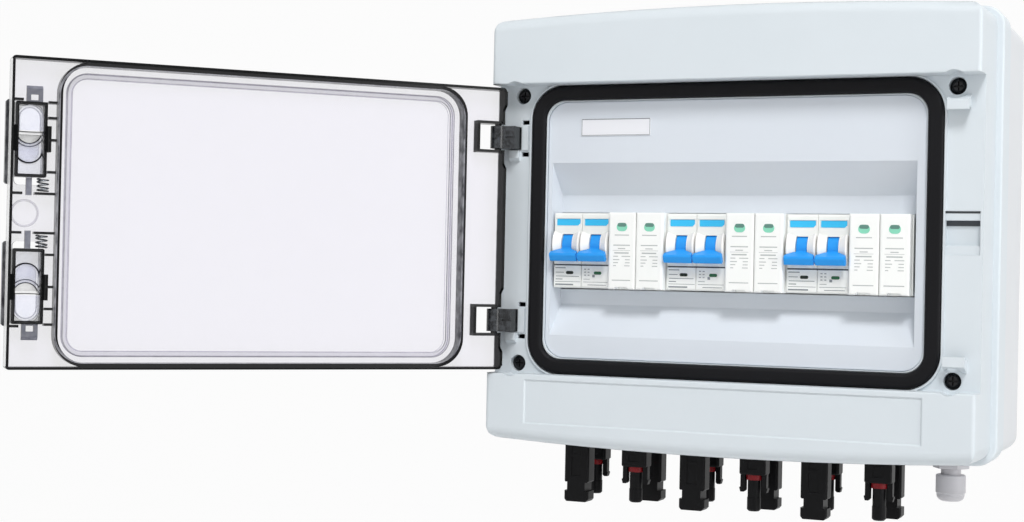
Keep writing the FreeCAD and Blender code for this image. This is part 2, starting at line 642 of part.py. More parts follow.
def make_base_box():
    body = new_body("base_body")
    pad(body, rounded(new_sketch(body, "XZ"), "base_half_x", "base_half_z", "base_corner"), "seam")
    cavity = rounded(
        new_sketch(body, "XZ", "wall"),
        "base_half_x - wall", "base_half_z - wall", "base_corner - wall")
    pocket(body, cavity, "seam", back=True)

    groove = new_sketch(body, "XZ", "seam")
    rounded(groove, "base_half_x - groove_inset", "base_half_z - groove_inset", "base_corner - groove_inset")
    rounded(
        groove, "base_half_x - groove_inset - groove_width", "base_half_z - groove_inset - groove_width",
        "base_corner - groove_inset - groove_width")
    pocket(body, groove, "groove_depth")

    posts = new_sketch(body, "XZ", "wall - 0.5")
    for sx, sz in CORNERS:
        circle(posts, "%d * cover_screw_x" % sx, "%d * cover_screw_z" % sz, "post_r")
    pad(body, posts, "seam + 2 - post_gap - wall + 0.5")
    pilots = new_sketch(body, "XZ", "seam + 2 - post_gap")
    for sx, sz in CORNERS:
        circle(pilots, "%d * cover_screw_x" % sx, "%d * cover_screw_z" % sz, "screw_r + pilot_gap")
    pocket(body, pilots, "24")

    bosses = new_sketch(body, "XZ", "wall - 0.5")
    for sx, sz in CORNERS:
        circle(bosses, "%d * wall_hole_x" % sx, "%d * wall_hole_z" % sz, "wall_boss_r")
    pad(body, bosses, "wall_boss + 0.5")
    holes = new_sketch(body, "XZ", "wall + wall_boss + 1")
    for sx, sz in CORNERS:
        circle(holes, "%d * wall_hole_x" % sx, "%d * wall_hole_z" % sz, "wall_hole_r")
    pocket(body, holes, "wall + wall_boss + 2")

    for side in (-1, 1):
        middle = "row_x + %d * rail_post_x" % side
        post = rectangle(
            new_sketch(body, "XZ", "wall - 0.5"),
            middle + " - rail_post_half", middle + " + rail_post_half",
            "row_z - rail_web + 0.5", "row_z + rail_web - 0.5")
        pad(body, post, "rail_front - rail_height - wall + 0.5")
        pilot = circle(
            new_sketch(body, "XZ", "rail_front - rail_height"),
            middle, "row_z", "rail_screw_r + pilot_gap")
        pocket(body, pilot, "rail_screw_length + 2")
        foot = circle(
            new_sketch(body, "XZ", "wall - 0.5"),
            "earth_x + %d * (earth_half - 4)" % side, "earth_z", "4")
        pad(body, foot, "earth_depth - wall + 0.5")

    entries = new_sketch(body, "XY", "-base_half_z - 1")
    for i in range(CONNECTORS):
        for depth in ("row_front", "row_back"):
            circle(entries, "connector_x + %d * connector_pitch" % i, "-" + depth, "thread_r + hole_gap")
    circle(entries, "gland_x", "-gland_y", "gland_thread_r + hole_gap")
    pocket(body, entries, "wall + 2", back=True)
    return node("base_box", body)


def make_frame_seal():
    body = new_body("frame_seal_body")
    ring = new_sketch(body, "XZ", "seam - groove_depth")
    rounded(
        ring, "base_half_x - groove_inset - groove_gap", "base_half_z - groove_inset - groove_gap",
        "base_corner - groove_inset - groove_gap")
    rounded(
        ring, "base_half_x - groove_inset - groove_width + groove_gap",
        "base_half_z - groove_inset - groove_width + groove_gap",
        "base_corner - groove_inset - groove_width + groove_gap")
    pad(body, ring, "groove_depth")
    return node("frame_seal", body)


# Front frame: two deep bands above and below a flat recess for the door

def frame_shape(name, shrink):
    """Outside of the frame, or its hollow where every face stands in by one wall."""
    outline = new_body(name + "_outline")
    item = crowned(
        new_sketch(outline, "XZ", "front - %s" % shrink),
        "front_half_x - %s" % shrink, "front_half_z - %s" % shrink, "front_corner - %s" % shrink)
    pad(outline, item, "front - seam - flange_depth", back=True, draft="front_draft")
    front = -num("front - %s" % shrink)
    if shrink == "0":
        round_edges(outline, "side_round", lambda e: lies(e, y=front))

    side = new_body(name + "_side")
    far = "front_half_x + 10"
    item = polygon(new_sketch(side, "YZ", "-(%s)" % far), [
        ("-seam - 1", "base_half_z + 5"),
        ("-seam - 1", "-base_half_z - 5"),
        ("-front + %s" % shrink, "-base_half_z - 5"),
        ("-front + %s" % shrink, "-band_edge - %s" % shrink),
        ("-front + recess + %s" % shrink, "-band_edge - %s" % shrink),
        ("-front + recess + %s" % shrink, "band_edge + %s" % shrink),
        ("-front + %s" % shrink, "band_edge + %s" % shrink),
        ("-front + %s" % shrink, "base_half_z + 5")])
    pad(side, item, "2 * (%s)" % far)
    if shrink == "0":
        inner = num("band_edge")
        round_edges(
            side, "band_crease",
            lambda e: lies(e, y=front, z=inner) or lies(e, y=front, z=-inner))
    body = common(name, [outline, side])
    return body


def make_frame_rounding():
    """Tools that round the bowed outer edges of the two bands."""
    tools = []
    bow = crown_radius("front_half_x", "front_corner")
    for up in (1, -1):
        middle = "%d * (front_half_z + crown - (%s))" % (up, bow)
        strip = cut(
            "band_strip",
            rod("band_disc", bow + " + 3", "band_round + 1", "0", "-front - 1", middle, along="Y"),
            [rod("band_core", bow + " - band_round", "band_round + 3", "0", "-front - 2", middle, along="Y")])
        roll = doc.addObject("Part::Torus", "band_roll")
        bind(roll, "Radius1", bow + " - band_round")
        bind(roll, "Radius2", "band_round")
        roll.Placement.Rotation = FreeCAD.Rotation(Vector(1, 0, 0), -90)
        place(roll, "0", "-front + band_round", middle)
        tools.append(cut("band_rounding", strip, [roll]))
    return tools


def make_flange():
    body = new_body("flange")
    item = crowned(
        new_sketch(body, "XZ", "seam"),
        "base_half_x + flange_lip", "base_half_z + flange_lip", "base_corner + flange_lip")
    pad(body, item, "flange_depth")
    face = -num("seam + flange_depth")
    back = -num("seam")
    round_edges(body, "flange_round", lambda e: lies(e, y=face))
    round_edges(body, "flange_round / 4", lambda e: lies(e, y=back))
    return body


def make_flange_hollow():
    """The flange is open inside to the same line as the rear box, so it rests on the box's rim."""
    body = new_body("flange_hollow")
    item = rounded(
        new_sketch(body, "XZ", "seam - 1"),
        "base_half_x - wall", "base_half_z - wall", "base_corner - wall")
    pad(body, item, "flange_depth - skin + 1")
    return body


def ring_pad(body, offset, half_x, half_z, corner, width, height, back=True):
    """A rib of one width whose middle line is a rounded rectangle."""
    item = new_sketch(body, "XZ", offset)
    for side in ("+", "-"):
        rounded(
            item, "%s %s %s / 2" % (half_x, side, width), "%s %s %s / 2" % (half_z, side, width),
            "%s %s %s / 2" % (corner, side, width))
    pad(body, item, height, back=back)


def make_keeper(up):
    """Hood that a latch hook slips behind, and its side gusset."""
    sign = "%d * " % up
    plane = "-front + recess"
    face = "(-front + door_sheet + latch_gap + latch_floor + 0.6)"
    body = new_body("keeper")
    item = polygon(new_sketch(body, "YZ", "keeper_left"), [
        (plane + " + 0.5", sign + "(keeper_end + 0.2)"),
        (plane + " + 0.5", sign + "(keeper_end - keeper_sheet)"),
        (face + " + keeper_sheet", sign + "(keeper_edge + keeper_flat - 0.6)"),
        (face + " + keeper_sheet", sign + "keeper_edge"),
        (face, sign + "keeper_edge"),
        (face, sign + "(keeper_edge + keeper_flat)"),
        (plane, sign + "keeper_end")])
    pad(body, item, "keeper_right - keeper_left")
    gusset = polygon(new_sketch(body, "YZ", "keeper_right - 1.2"), [
        (plane + " + 0.5", sign + "(keeper_edge + 1.5)"),
        (face + " + 0.8", sign + "(keeper_edge + 1.5)"),
        (face + " + 0.8", sign + "(keeper_edge + keeper_flat)"),
        (plane, sign + "(keeper_end - 0.5)"),
        (plane + " + 0.5", sign + "(keeper_end - 0.5)")])
    pad(body, gusset, "1.2")
    return body


def make_front_frame():
    outside = cut("frame_outside", frame_shape("frame_full", "0"), make_frame_rounding())
    shell = fuse("frame_shell", [outside, make_flange()])
    hollow = [frame_shape("frame_hollow", "skin"), make_flange_hollow()]
    shell = cut("frame_hollowed", shell, hollow)

    extra = new_body("frame_extra")
    ring_pad(
        extra, "front - recess - 0.5", "seal_x + seal_width / 2 + channel_gap + rim_width / 2",
        "band_edge + 1", "seal_corner + seal_width / 2 + 1", "rim_width", "rim_height + 0.5", back=False)
    wells = new_sketch(extra, "XZ", "seam + 2")
    for sx, sz in CORNERS:
        circle(wells, "%d * cover_screw_x" % sx, "%d * cover_screw_z" % sz, "screw_well + well_wall")
    pad(extra, wells, "front - recess - seam - 2.5")
    lock = rectangle(
        new_sketch(extra, "XZ", "front - recess - lock_deep - skin"),
        "lock_left - 1", "lock_right + 0.4", "lock_deep_low - 2", "lock_deep_high + 2")
    pad(extra, lock, "lock_deep + skin - 0.5")
    for up in (1, -1):
        post = rectangle(
            new_sketch(extra, "XZ", "front - recess - 0.5"),
            "hinge_x + hinge_foot_x + 2.2", "hinge_x + hinge_foot_x + 6.4",
            "%d * hinge_z - hinge_half - 0.5" % up, "%d * hinge_z + hinge_half + 0.5" % up)
        pad(extra, post, "1.7")
        boss = polygon(new_sketch(extra, "YZ", "hinge_x + 4.5"), [
            ("-front + recess + 0.5", "%d * hinge_z - hinge_half - 0.5" % up),
            ("-front + recess + 0.5", "%d * hinge_z - hinge_half - 7.3" % up),
            ("-front + recess", "%d * hinge_z - hinge_half - 7.3" % up),
            ("-front + recess - 3", "%d * hinge_z - hinge_half - 5.3" % up),
            ("-front + recess - 3", "%d * hinge_z - hinge_half - 0.5" % up)])
        pad(extra, boss, "hinge_foot_x - 3.5")

    solid = fuse("frame_solid", [shell, extra, make_keeper(1), make_keeper(-1)])

    tools = new_body("frame_tools")
    opening = rounded(
        new_sketch(tools, "XZ", "front - recess - 5"),
        "mask_half_x + mask_gap", "mask_half_z + mask_gap", "mask_corner + mask_gap")
    pad(tools, opening, "10")
    ring_pad(
        tools, "front - recess - channel_depth", "seal_x", "seal_z", "seal_corner",
        "(seal_width + 2 * channel_gap)", "channel_depth + rim_height", back=False)
    wells = new_sketch(tools, "XZ", "front - recess - screw_well_depth")
    for sx, sz in CORNERS:
        circle(wells, "%d * cover_screw_x" % sx, "%d * cover_screw_z" % sz, "screw_well")
    pad(tools, wells, "screw_well_depth + rim_height + 1")
    flares = new_sketch(tools, "XZ", "front - recess")
    for sx, sz in CORNERS:
        circle(flares, "%d * cover_screw_x" % sx, "%d * cover_screw_z" % sz, "well_flare")
    pad(tools, flares, "recess + 1")
    shanks = new_sketch(tools, "XZ", "seam")
    for sx, sz in CORNERS:
        circle(shanks, "%d * cover_screw_x" % sx, "%d * cover_screw_z" % sz, "screw_r + screw_gap")
    pad(tools, shanks, "front - recess - seam")
    shallow = rectangle(
        new_sketch(tools, "XZ", "front - recess - lock_drop"),
        "lock_left", "lock_right", "lock_low", "lock_high")
    pad(tools, shallow, "lock_drop + 1")
    deep = rectangle(
        new_sketch(tools, "XZ", "front - recess - lock_deep"),
        "lock_left + 0.6", "lock_right - 0.2", "lock_deep_low", "lock_deep_high")
    pad(tools, deep, "lock_deep + 1")
    panel = rectangle(
        new_sketch(tools, "XZ", "front - panel_drop"),
        "panel_left", "panel_right", "panel_bottom", "panel_top")
    pad(tools, panel, "panel_drop + 1", draft="panel_slope")
    for up in (1, -1):
        for low in ("hinge_half + 1.6", "-hinge_half - 4.2"):
            slot = rectangle(
                new_sketch(tools, "XZ", "front - recess - skin - 1"),
                "hinge_x + hinge_foot_x + 2.0", "hinge_x + hinge_foot_x + 6.6",
                "%d * hinge_z + %s" % (up, low), "%d * hinge_z + %s + 2.6" % (up, low))
            pad(tools, slot, "skin + 2")
    return node("front_frame", cut("front_frame_cut", solid, [tools]))


def make_door_seal():
    body = new_body("door_seal_body")
    ring_pad(
        body, "front - recess - channel_depth", "seal_x", "seal_z", "seal_corner",
        "seal_width", "seal_height", back=False)
    face = -num("front - recess - channel_depth + seal_height")
    round_edges(body, "seal_round", lambda e: lies(e, y=face))
    return node("door_seal", body)


# Inner mask with the trough round the devices

def make_inner_mask():
    body = new_body("mask_body")
    pad(body, rounded(
        new_sketch(body, "XZ", "mask_front - mask_sheet"),
        "mask_half_x", "mask_half_z", "mask_corner"), "mask_sheet")
    pad(body, rounded(
        new_sketch(body, "XZ", "front - recess - skin - seat_gap - mask_sheet"),
        "mask_half_x + mask_flange", "mask_half_z + mask_flange", "mask_corner + mask_flange"),
        "mask_sheet")

    def trough(depth, grow, spread):
        return rectangle(
            new_sketch(body, "XZ", depth),
            "trough_left + %s - %s" % (spread[0], grow), "trough_right - %s + %s" % (spread[0], grow),
            "trough_bottom + %s - %s" % (spread[1], grow), "trough_top - %s + %s" % (spread[1], grow))

    flat, slope = ("0", "0"), ("trough_side * 2", "trough_slope")
    doc.recompute()
    outer = body.newObject("PartDesign::AdditiveLoft", "trough_outside")
    outer.Profile = trough("mask_front - mask_sheet / 2", "mask_sheet", flat)
    outer.Sections = [trough("mask_front - trough_depth - mask_sheet", "mask_sheet", slope)]
    outer.Ruled = True
    body.Tip = outer
    doc.recompute()
    inner = body.newObject("PartDesign::SubtractiveLoft", "trough_inside")
    inner.Profile = trough("mask_front + 0.01", "0", flat)
    inner.Sections = [trough("mask_front - trough_depth", "0", slope)]
    inner.Ruled = True
    body.Tip = inner
    window = rectangle(
        new_sketch(body, "XZ", "mask_front - trough_depth + 1"),
        "row_x - 6 * module - window_gap", "row_x + 6 * module + window_gap",
        "row_z - nose_half - plug_gap - window_gap", "row_z + nose_half + plug_gap + window_gap")
    pocket(body, window, "mask_sheet + 3")
    return node("inner_mask", body)


def make_label_plate():
    body = new_body("label_body")
    item = rectangle(
        new_sketch(body, "XZ", "mask_front"),
        "label_left", "label_left + label_width", "label_low", "label_low + label_height")
    pad(body, item, "label_sheet")
    return node("label_plate", body)


# Rail and screws

def make_din_rail():
    body = new_body("rail_body")
    web_back = "-(rail_front - rail_height)"
    web_front = "-(rail_front - rail_height + rail_sheet)"
    flange_back = "-(rail_front - rail_sheet)"
    item = polygon(new_sketch(body, "YZ", "row_x"), [
        (web_back, "row_z - rail_web"), (web_back, "row_z + rail_web"),
        (flange_back, "row_z + rail_web"), (flange_back, "row_z + rail_half"),
        ("-rail_front", "row_z + rail_half"), ("-rail_front", "row_z + rail_web - rail_sheet"),
        (web_front, "row_z + rail_web - rail_sheet"), (web_front, "row_z - rail_web + rail_sheet"),
        ("-rail_front", "row_z - rail_web + rail_sheet"), ("-rail_front", "row_z - rail_half"),
        (flange_back, "row_z - rail_half"), (flange_back, "row_z - rail_web")])
    pad(body, item, "rail_length", middle=True)
    holes = new_sketch(body, "XZ", "rail_front")
    for side in (-1, 1):
        circle(holes, "row_x + %d * rail_post_x" % side, "row_z", "rail_screw_r + screw_gap")
    pocket(body, holes, "rail_height + 1")
    return node("din_rail", body)


def screw(name, radius, length, head_r, head, x, depth, z):
    """A pan head screw that points into the wall, with a cross recess in its head."""
    body = new_body(name)
    item = polygon(new_sketch(body, "YZ"), [
        ("0", "0"), (length, "0"), (length, radius), ("0", radius), ("0", head_r),
        ("-%s * 0.6" % head, head_r), ("-%s" % head, "%s * 0.6" % head_r), ("-%s" % head, "0")])
    revolve(body, item, "Y")
    for wide, tall in (("1", "0.16"), ("0.16", "1")):
        half_x, half_z = "%s * 0.55 * %s" % (head_r, wide), "%s * 0.55 * %s" % (head_r, tall)
        cross = rectangle(
            new_sketch(body, "XZ", head), "-(%s)" % half_x, half_x, "-(%s)" % half_z, half_z)
        pocket(body, cross, "%s * 0.6" % head)
    place(body, x, "-(%s)" % depth, z)
    return body


def make_screws():
    seat = "front - recess - screw_well_depth"
    covers = [
        screw("cover_screw", "screw_r", "screw_length", "screw_head_r", "screw_head",
              "%d * cover_screw_x" % sx, seat, "%d * cover_screw_z" % sz)
        for sx, sz in CORNERS]
    node("cover_screws", group("cover_screw_group", covers))
    rails = [
        screw("rail_screw", "rail_screw_r", "rail_screw_length", "rail_screw_head_r",
              "rail_screw_head", "row_x + %d * rail_post_x" % side,
              "rail_front - rail_height + rail_sheet", "row_z")
        for side in (-1, 1)]
    node("rail_screws", group("rail_screw_group", rails))


# Devices: both kinds share the back that grips the rail

def device_outline(front):
    """Side outline of a device: its back with the fixed rail hook, then the given front."""
    lip = "-(rail_front - rail_sheet - hook_gap)"
    grip = "row_z + rail_half - hook_reach"
    return [("-device_back", "row_z - device_half")] + front + [
        ("-device_back", "row_z + device_half"),
        ("-device_back", grip), (lip, grip), (lip, "row_z + rail_half + hook_gap"),
        ("-rail_front", "row_z + rail_half + hook_gap"),
        ("-rail_front", "row_z - rail_half - 0.5"), ("-device_back", "row_z - rail_half - 0.5")]


def device_x(index):
    """Middle of a two-module device in the row, counted from the left."""
    return "row_x + %d * module" % (2 * index - 5)


def clip_channel(body, middle):
    item = rectangle(
        new_sketch(body, "XZ", "rail_front - rail_sheet - hook_gap"),
        middle + " - clip_half_x - hook_gap", middle + " + clip_half_x + hook_gap",
        "row_z - device_half - 1", "row_z - rail_half")
    pocket(body, item, "10")


def terminals(body, middle, spots):
    """Screw wells in the shoulders and wire entries in the ends of a device."""
    wells = new_sketch(body, "XZ", "shoulder")
    for x in spots:
        for up in (1, -1):
            circle(wells, middle + x, "row_z + %d * terminal_z" % up, "terminal_r")
    pocket(body, wells, "terminal_depth")
    for up in (1, -1):
        entries = new_sketch(body, "XY", "row_z + %d * device_half" % up)
        for x in spots:
            rectangle(
                entries, middle + x + " - wire_width / 2", middle + x + " + wire_width / 2",
                "-shoulder + terminal_depth + 2", "-shoulder + terminal_depth + 2 + wire_width")
        pocket(body, entries, "wire_depth", back=up < 0)


def make_breaker(number, index):
    middle = device_x(index)
    half = "(module - device_gap / 2)"
    body = new_body("breaker_body_%d_shape" % number)
    item = polygon(new_sketch(body, "YZ", "%s - %s" % (middle, half)), device_outline([
        ("-shoulder", "row_z - device_half"), ("-shoulder", "row_z - nose_half"),
        ("-nose", "row_z - nose_half"), ("-nose", "row_z + nose_half"),
        ("-shoulder", "row_z + nose_half"), ("-shoulder", "row_z + device_half")]))
    pad(body, item, "2 * %s" % half)
    front = -num("nose")
    ends = [num("row_z + nose_half"), num("row_z - nose_half")]
    round_edges(body, "nose_round", lambda e: any(lies(e, y=front, z=end) for end in ends))

    poles = [" - module / 2", " + module / 2"]
    for x in poles:
        cheek = circle(
            new_sketch(body, "YZ", middle + x + " - cheek_half"),
            "-pivot_depth", "row_z + pivot_z", "cheek_r")
        pad(body, cheek, "2 * cheek_half")
    for x in poles:
        slot = rectangle(
            new_sketch(body, "XZ", "pivot_depth + cheek_r + 1"),
            middle + x + " - hub_half - hub_gap", middle + x + " + hub_half + hub_gap",
            "row_z + pivot_z - slot_low", "row_z + pivot_z + slot_high")
        pocket(body, slot, "cheek_r + 1")
        bore = circle(
            new_sketch(body, "YZ", middle + x + " - hub_half - hub_gap"),
            "-pivot_depth", "row_z + pivot_z", "hub_r + hub_gap")
        pocket(body, bore, "2 * (hub_half + hub_gap)", back=True)
        axle = circle(
            new_sketch(body, "YZ", middle + x + " - axle_half - hub_gap"),
            "-pivot_depth", "row_z + pivot_z", "axle_r + axle_gap")
        pocket(body, axle, "2 * (axle_half + hub_gap)", back=True)
        left = middle + x + " - tag_half"
        right = middle + x + " + tag_half"
        tag = polygon(new_sketch(body, "XZ", "nose"), [
            (left, "row_z + tag_low"), (right + " - 1.8", "row_z + tag_low"),
            (right, "row_z + tag_low + 1.8"), (right, "row_z + tag_high"), (left, "row_z + tag_high")])
        pocket(body, tag, "tag_depth")
    line = rectangle(
        new_sketch(body, "XZ", "nose"), middle + " - module", middle + " + module",
        "row_z + line_z - line_width / 2", "row_z + line_z + line_width / 2")
    pocket(body, line, "line_width")
    seam = rectangle(
        new_sketch(body, "XZ", "nose"), middle + " - pole_groove / 2", middle + " + pole_groove / 2",
        "row_z - nose_half - 1", "row_z + nose_half + 1")
    pocket(body, seam, "pole_groove * 1.5")
    terminals(body, middle, poles)
    clip_channel(body, middle)
    return node("breaker_body_%d" % number, body)


def make_handle(number, index):
    """Two toggles on one axle line, tied by a bar, modelled level and turned down to off."""
    middle = device_x(index)
    body = new_body("breaker_handle_%d_shape" % number)
    for side in (-1, 1):
        x = "%d * module / 2" % side
        hub = circle(new_sketch(body, "YZ", x + " - hub_half"), "0", "0", "hub_r")
        pad(body, hub, "2 * hub_half")
        axle = circle(new_sketch(body, "YZ", x + " - axle_half"), "0", "0", "axle_r")
        pad(body, axle, "2 * axle_half")
        stem = rectangle(
            new_sketch(body, "YZ", x + " - hub_half"),
            "-cheek_r - paddle_gap - 1", "-hub_r * 0.7", "-paddle_thick / 2", "paddle_thick / 2")
        pad(body, stem, "2 * hub_half")
        paddle = polygon(new_sketch(body, "XY"), [
            (x + " - hub_half - 0.6", "-cheek_r - paddle_gap"), (x + " - paddle_half", "-paddle_flare"),
            (x + " - paddle_half", "-paddle_reach"), (x + " + paddle_half", "-paddle_reach"),
            (x + " + paddle_half", "-paddle_flare"), (x + " + hub_half + 0.6", "-cheek_r - paddle_gap")])
        pad(body, paddle, "paddle_thick", middle=True)
    tie = circle(
        new_sketch(body, "YZ", "-module / 2"), "-(paddle_reach + paddle_flare) / 2", "0", "tie_r")
    pad(body, tie, "module")
    reach = -num("paddle_reach")
    round_edges(body, "paddle_round", lambda e: lies(e, y=reach) and e.BoundBox.XLength > 5)
    place(body, middle, "-pivot_depth", "row_z + pivot_z")
    turn(body, Vector(1, 0, 0), "handle_down")
    return node("breaker_handle_%d" % number, body)


def make_surge_base(number, index):
    middle = device_x(index)
    half = "(module - device_gap / 2)"
    inner = "(nose_half + plug_gap + 0.25)"
    body = new_body("surge_base_%d_shape" % number)
    item = polygon(new_sketch(body, "YZ", "%s - %s" % (middle, half)), device_outline([
        ("-shoulder", "row_z - device_half"), ("-shoulder", "row_z - %s" % inner),
        ("-surge_floor", "row_z - %s" % inner), ("-surge_floor", "row_z + %s" % inner),
        ("-shoulder", "row_z + %s" % inner), ("-shoulder", "row_z + device_half")]))
    pad(body, item, "2 * %s" % half)
    for start in ("%s - %s" % (middle, half), "%s + %s - surge_cheek" % (middle, half)):
        cheek = rectangle(
            new_sketch(body, "YZ", start), "-surge_cheek_front", "-surge_floor + 1",
            "row_z - nose_half", "row_z + nose_half")
        pad(body, cheek, "surge_cheek")
        fill = rectangle(
            new_sketch(body, "YZ", start), "-shoulder", "-surge_floor + 1",
            "row_z - nose_half - 2", "row_z + nose_half + 2")
        pad(body, fill, "surge_cheek")
    slots = new_sketch(body, "XZ", "surge_floor")
    for side in (-1, 1):
        x = cartridge_x(middle, side)
        for up in (1, -1):
            rectangle(
                slots, x + " - blade_thick / 2 - blade_gap", x + " + blade_thick / 2 + blade_gap",
                "row_z + %d * blade_z - blade_width / 2 - blade_gap" % up,
                "row_z + %d * blade_z + blade_width / 2 + blade_gap" % up)
    pocket(body, slots, "blade_length + 2")
    terminals(body, middle, [" - module / 2", " + module / 2"])
    clip_channel(body, middle)
    return node("surge_base_%d" % number, body)


def cartridge_x(middle, side):
    return "%s + %d * (module - device_gap / 2 - surge_cheek) / 2" % (middle, side)


def make_cartridge(number, middle, side):
    x = cartridge_x(middle, side)
    half = "((module - device_gap / 2 - surge_cheek) / 2 - 0.15)"
    body = new_body("surge_cartridge_%d_shape" % number)
    item = rectangle(
        new_sketch(body, "XZ", "surge_floor + hook_gap"), x + " - " + half, x + " + " + half,
        "row_z - nose_half - 0.25", "row_z + nose_half + 0.25")
    pad(body, item, "cartridge_front - surge_floor - hook_gap")
    front = -num("cartridge_front")
    round_edges(body, "cartridge_round", lambda e: lies(e, y=front))
    for up in (1, -1):
        blade = rectangle(
            new_sketch(body, "XZ", "surge_floor + hook_gap + 1"),
            x + " - blade_thick / 2", x + " + blade_thick / 2",
            "row_z + %d * blade_z - blade_width / 2" % up, "row_z + %d * blade_z + blade_width / 2" % up)
        pad(body, blade, "blade_length + 1", back=True)
    grip = polygon(new_sketch(body, "XZ", "cartridge_front"), [
        (x + " - grip_half - grip_height", "row_z - nose_half - 1"),
        (x + " + grip_half + grip_height", "row_z - nose_half - 1"),
        (x + " + grip_half", "row_z - nose_half - 0.25 + grip_height"),
        (x + " - grip_half", "row_z - nose_half - 0.25 + grip_height")])
    pocket(body, grip, "grip_depth")
    return node("surge_cartridge_%d" % number, body)


def make_rail_clip(number, index):
    """Sliding catch under the back of a device; its lip holds the rail's lower flange."""
    middle = device_x(index)
    body = new_body("rail_clip_%d_shape" % number)
    item = rectangle(
        new_sketch(body, "XZ", "rail_front - rail_sheet - hook_gap - clip_thick"),
        middle + " - clip_half_x", middle + " + clip_half_x",
        "row_z - device_half - clip_tab", "row_z - rail_half + hook_reach")
    pad(body, item, "clip_thick - 0.1")
    eye = rectangle(
        new_sketch(body, "XZ", "rail_front"), middle + " - clip_half_x / 2", middle + " + clip_half_x / 2",
        "row_z - device_half - clip_tab + 1", "row_z - device_half - clip_tab + 2.4")
    pocket(body, eye, "10")
    return node("rail_clip_%d" % number, body)


def make_terminal_screws():
    """Clamp screws at the bottom of every terminal well."""
    rods = []
    for index in range(2 * DEVICE_PAIRS):
        for side in (-1, 1):
            for up in (1, -1):
                rods.append(rod(
                    "terminal_screw", "terminal_screw_r", "terminal_screw_height",
                    device_x(index) + " + %d * module / 2" % side,
                    "-shoulder + terminal_depth - terminal_screw_height",
                    "row_z + %d * terminal_z" % up, along="Y"))
    slots = [
        block("screw_slot", device_x(index) + " + %d * module / 2 - terminal_screw_r" % side,
              "-shoulder + terminal_depth - terminal_screw_height - 0.5",
              "row_z + %d * terminal_z - 0.4" % up,
              "2 * terminal_screw_r", "1.5", "0.8")
        for index in range(2 * DEVICE_PAIRS) for side in (-1, 1) for up in (1, -1)]
    pieces = [cut("slotted_screw", body, [slot]) for body, slot in zip(rods, slots)]
    node("terminal_screws", group("terminal_screw_group", pieces))


# Door: modelled shut and swung open about its hinge bar

def swing(item):
    """Carries a piece of the shut door to where the open door holds it."""
    item.Placement.Rotation = FreeCAD.Rotation(Vector(0, 0, 1), 0)
    bind(item, "Placement.Rotation.Angle", "-door_open")
    place(
        item, "hinge_x * (1 - cos(door_open * 1deg)) + hinge_depth * sin(door_open * 1deg)",
        "hinge_x * sin(door_open * 1deg) - hinge_depth * (1 - cos(door_open * 1deg))")
    return item


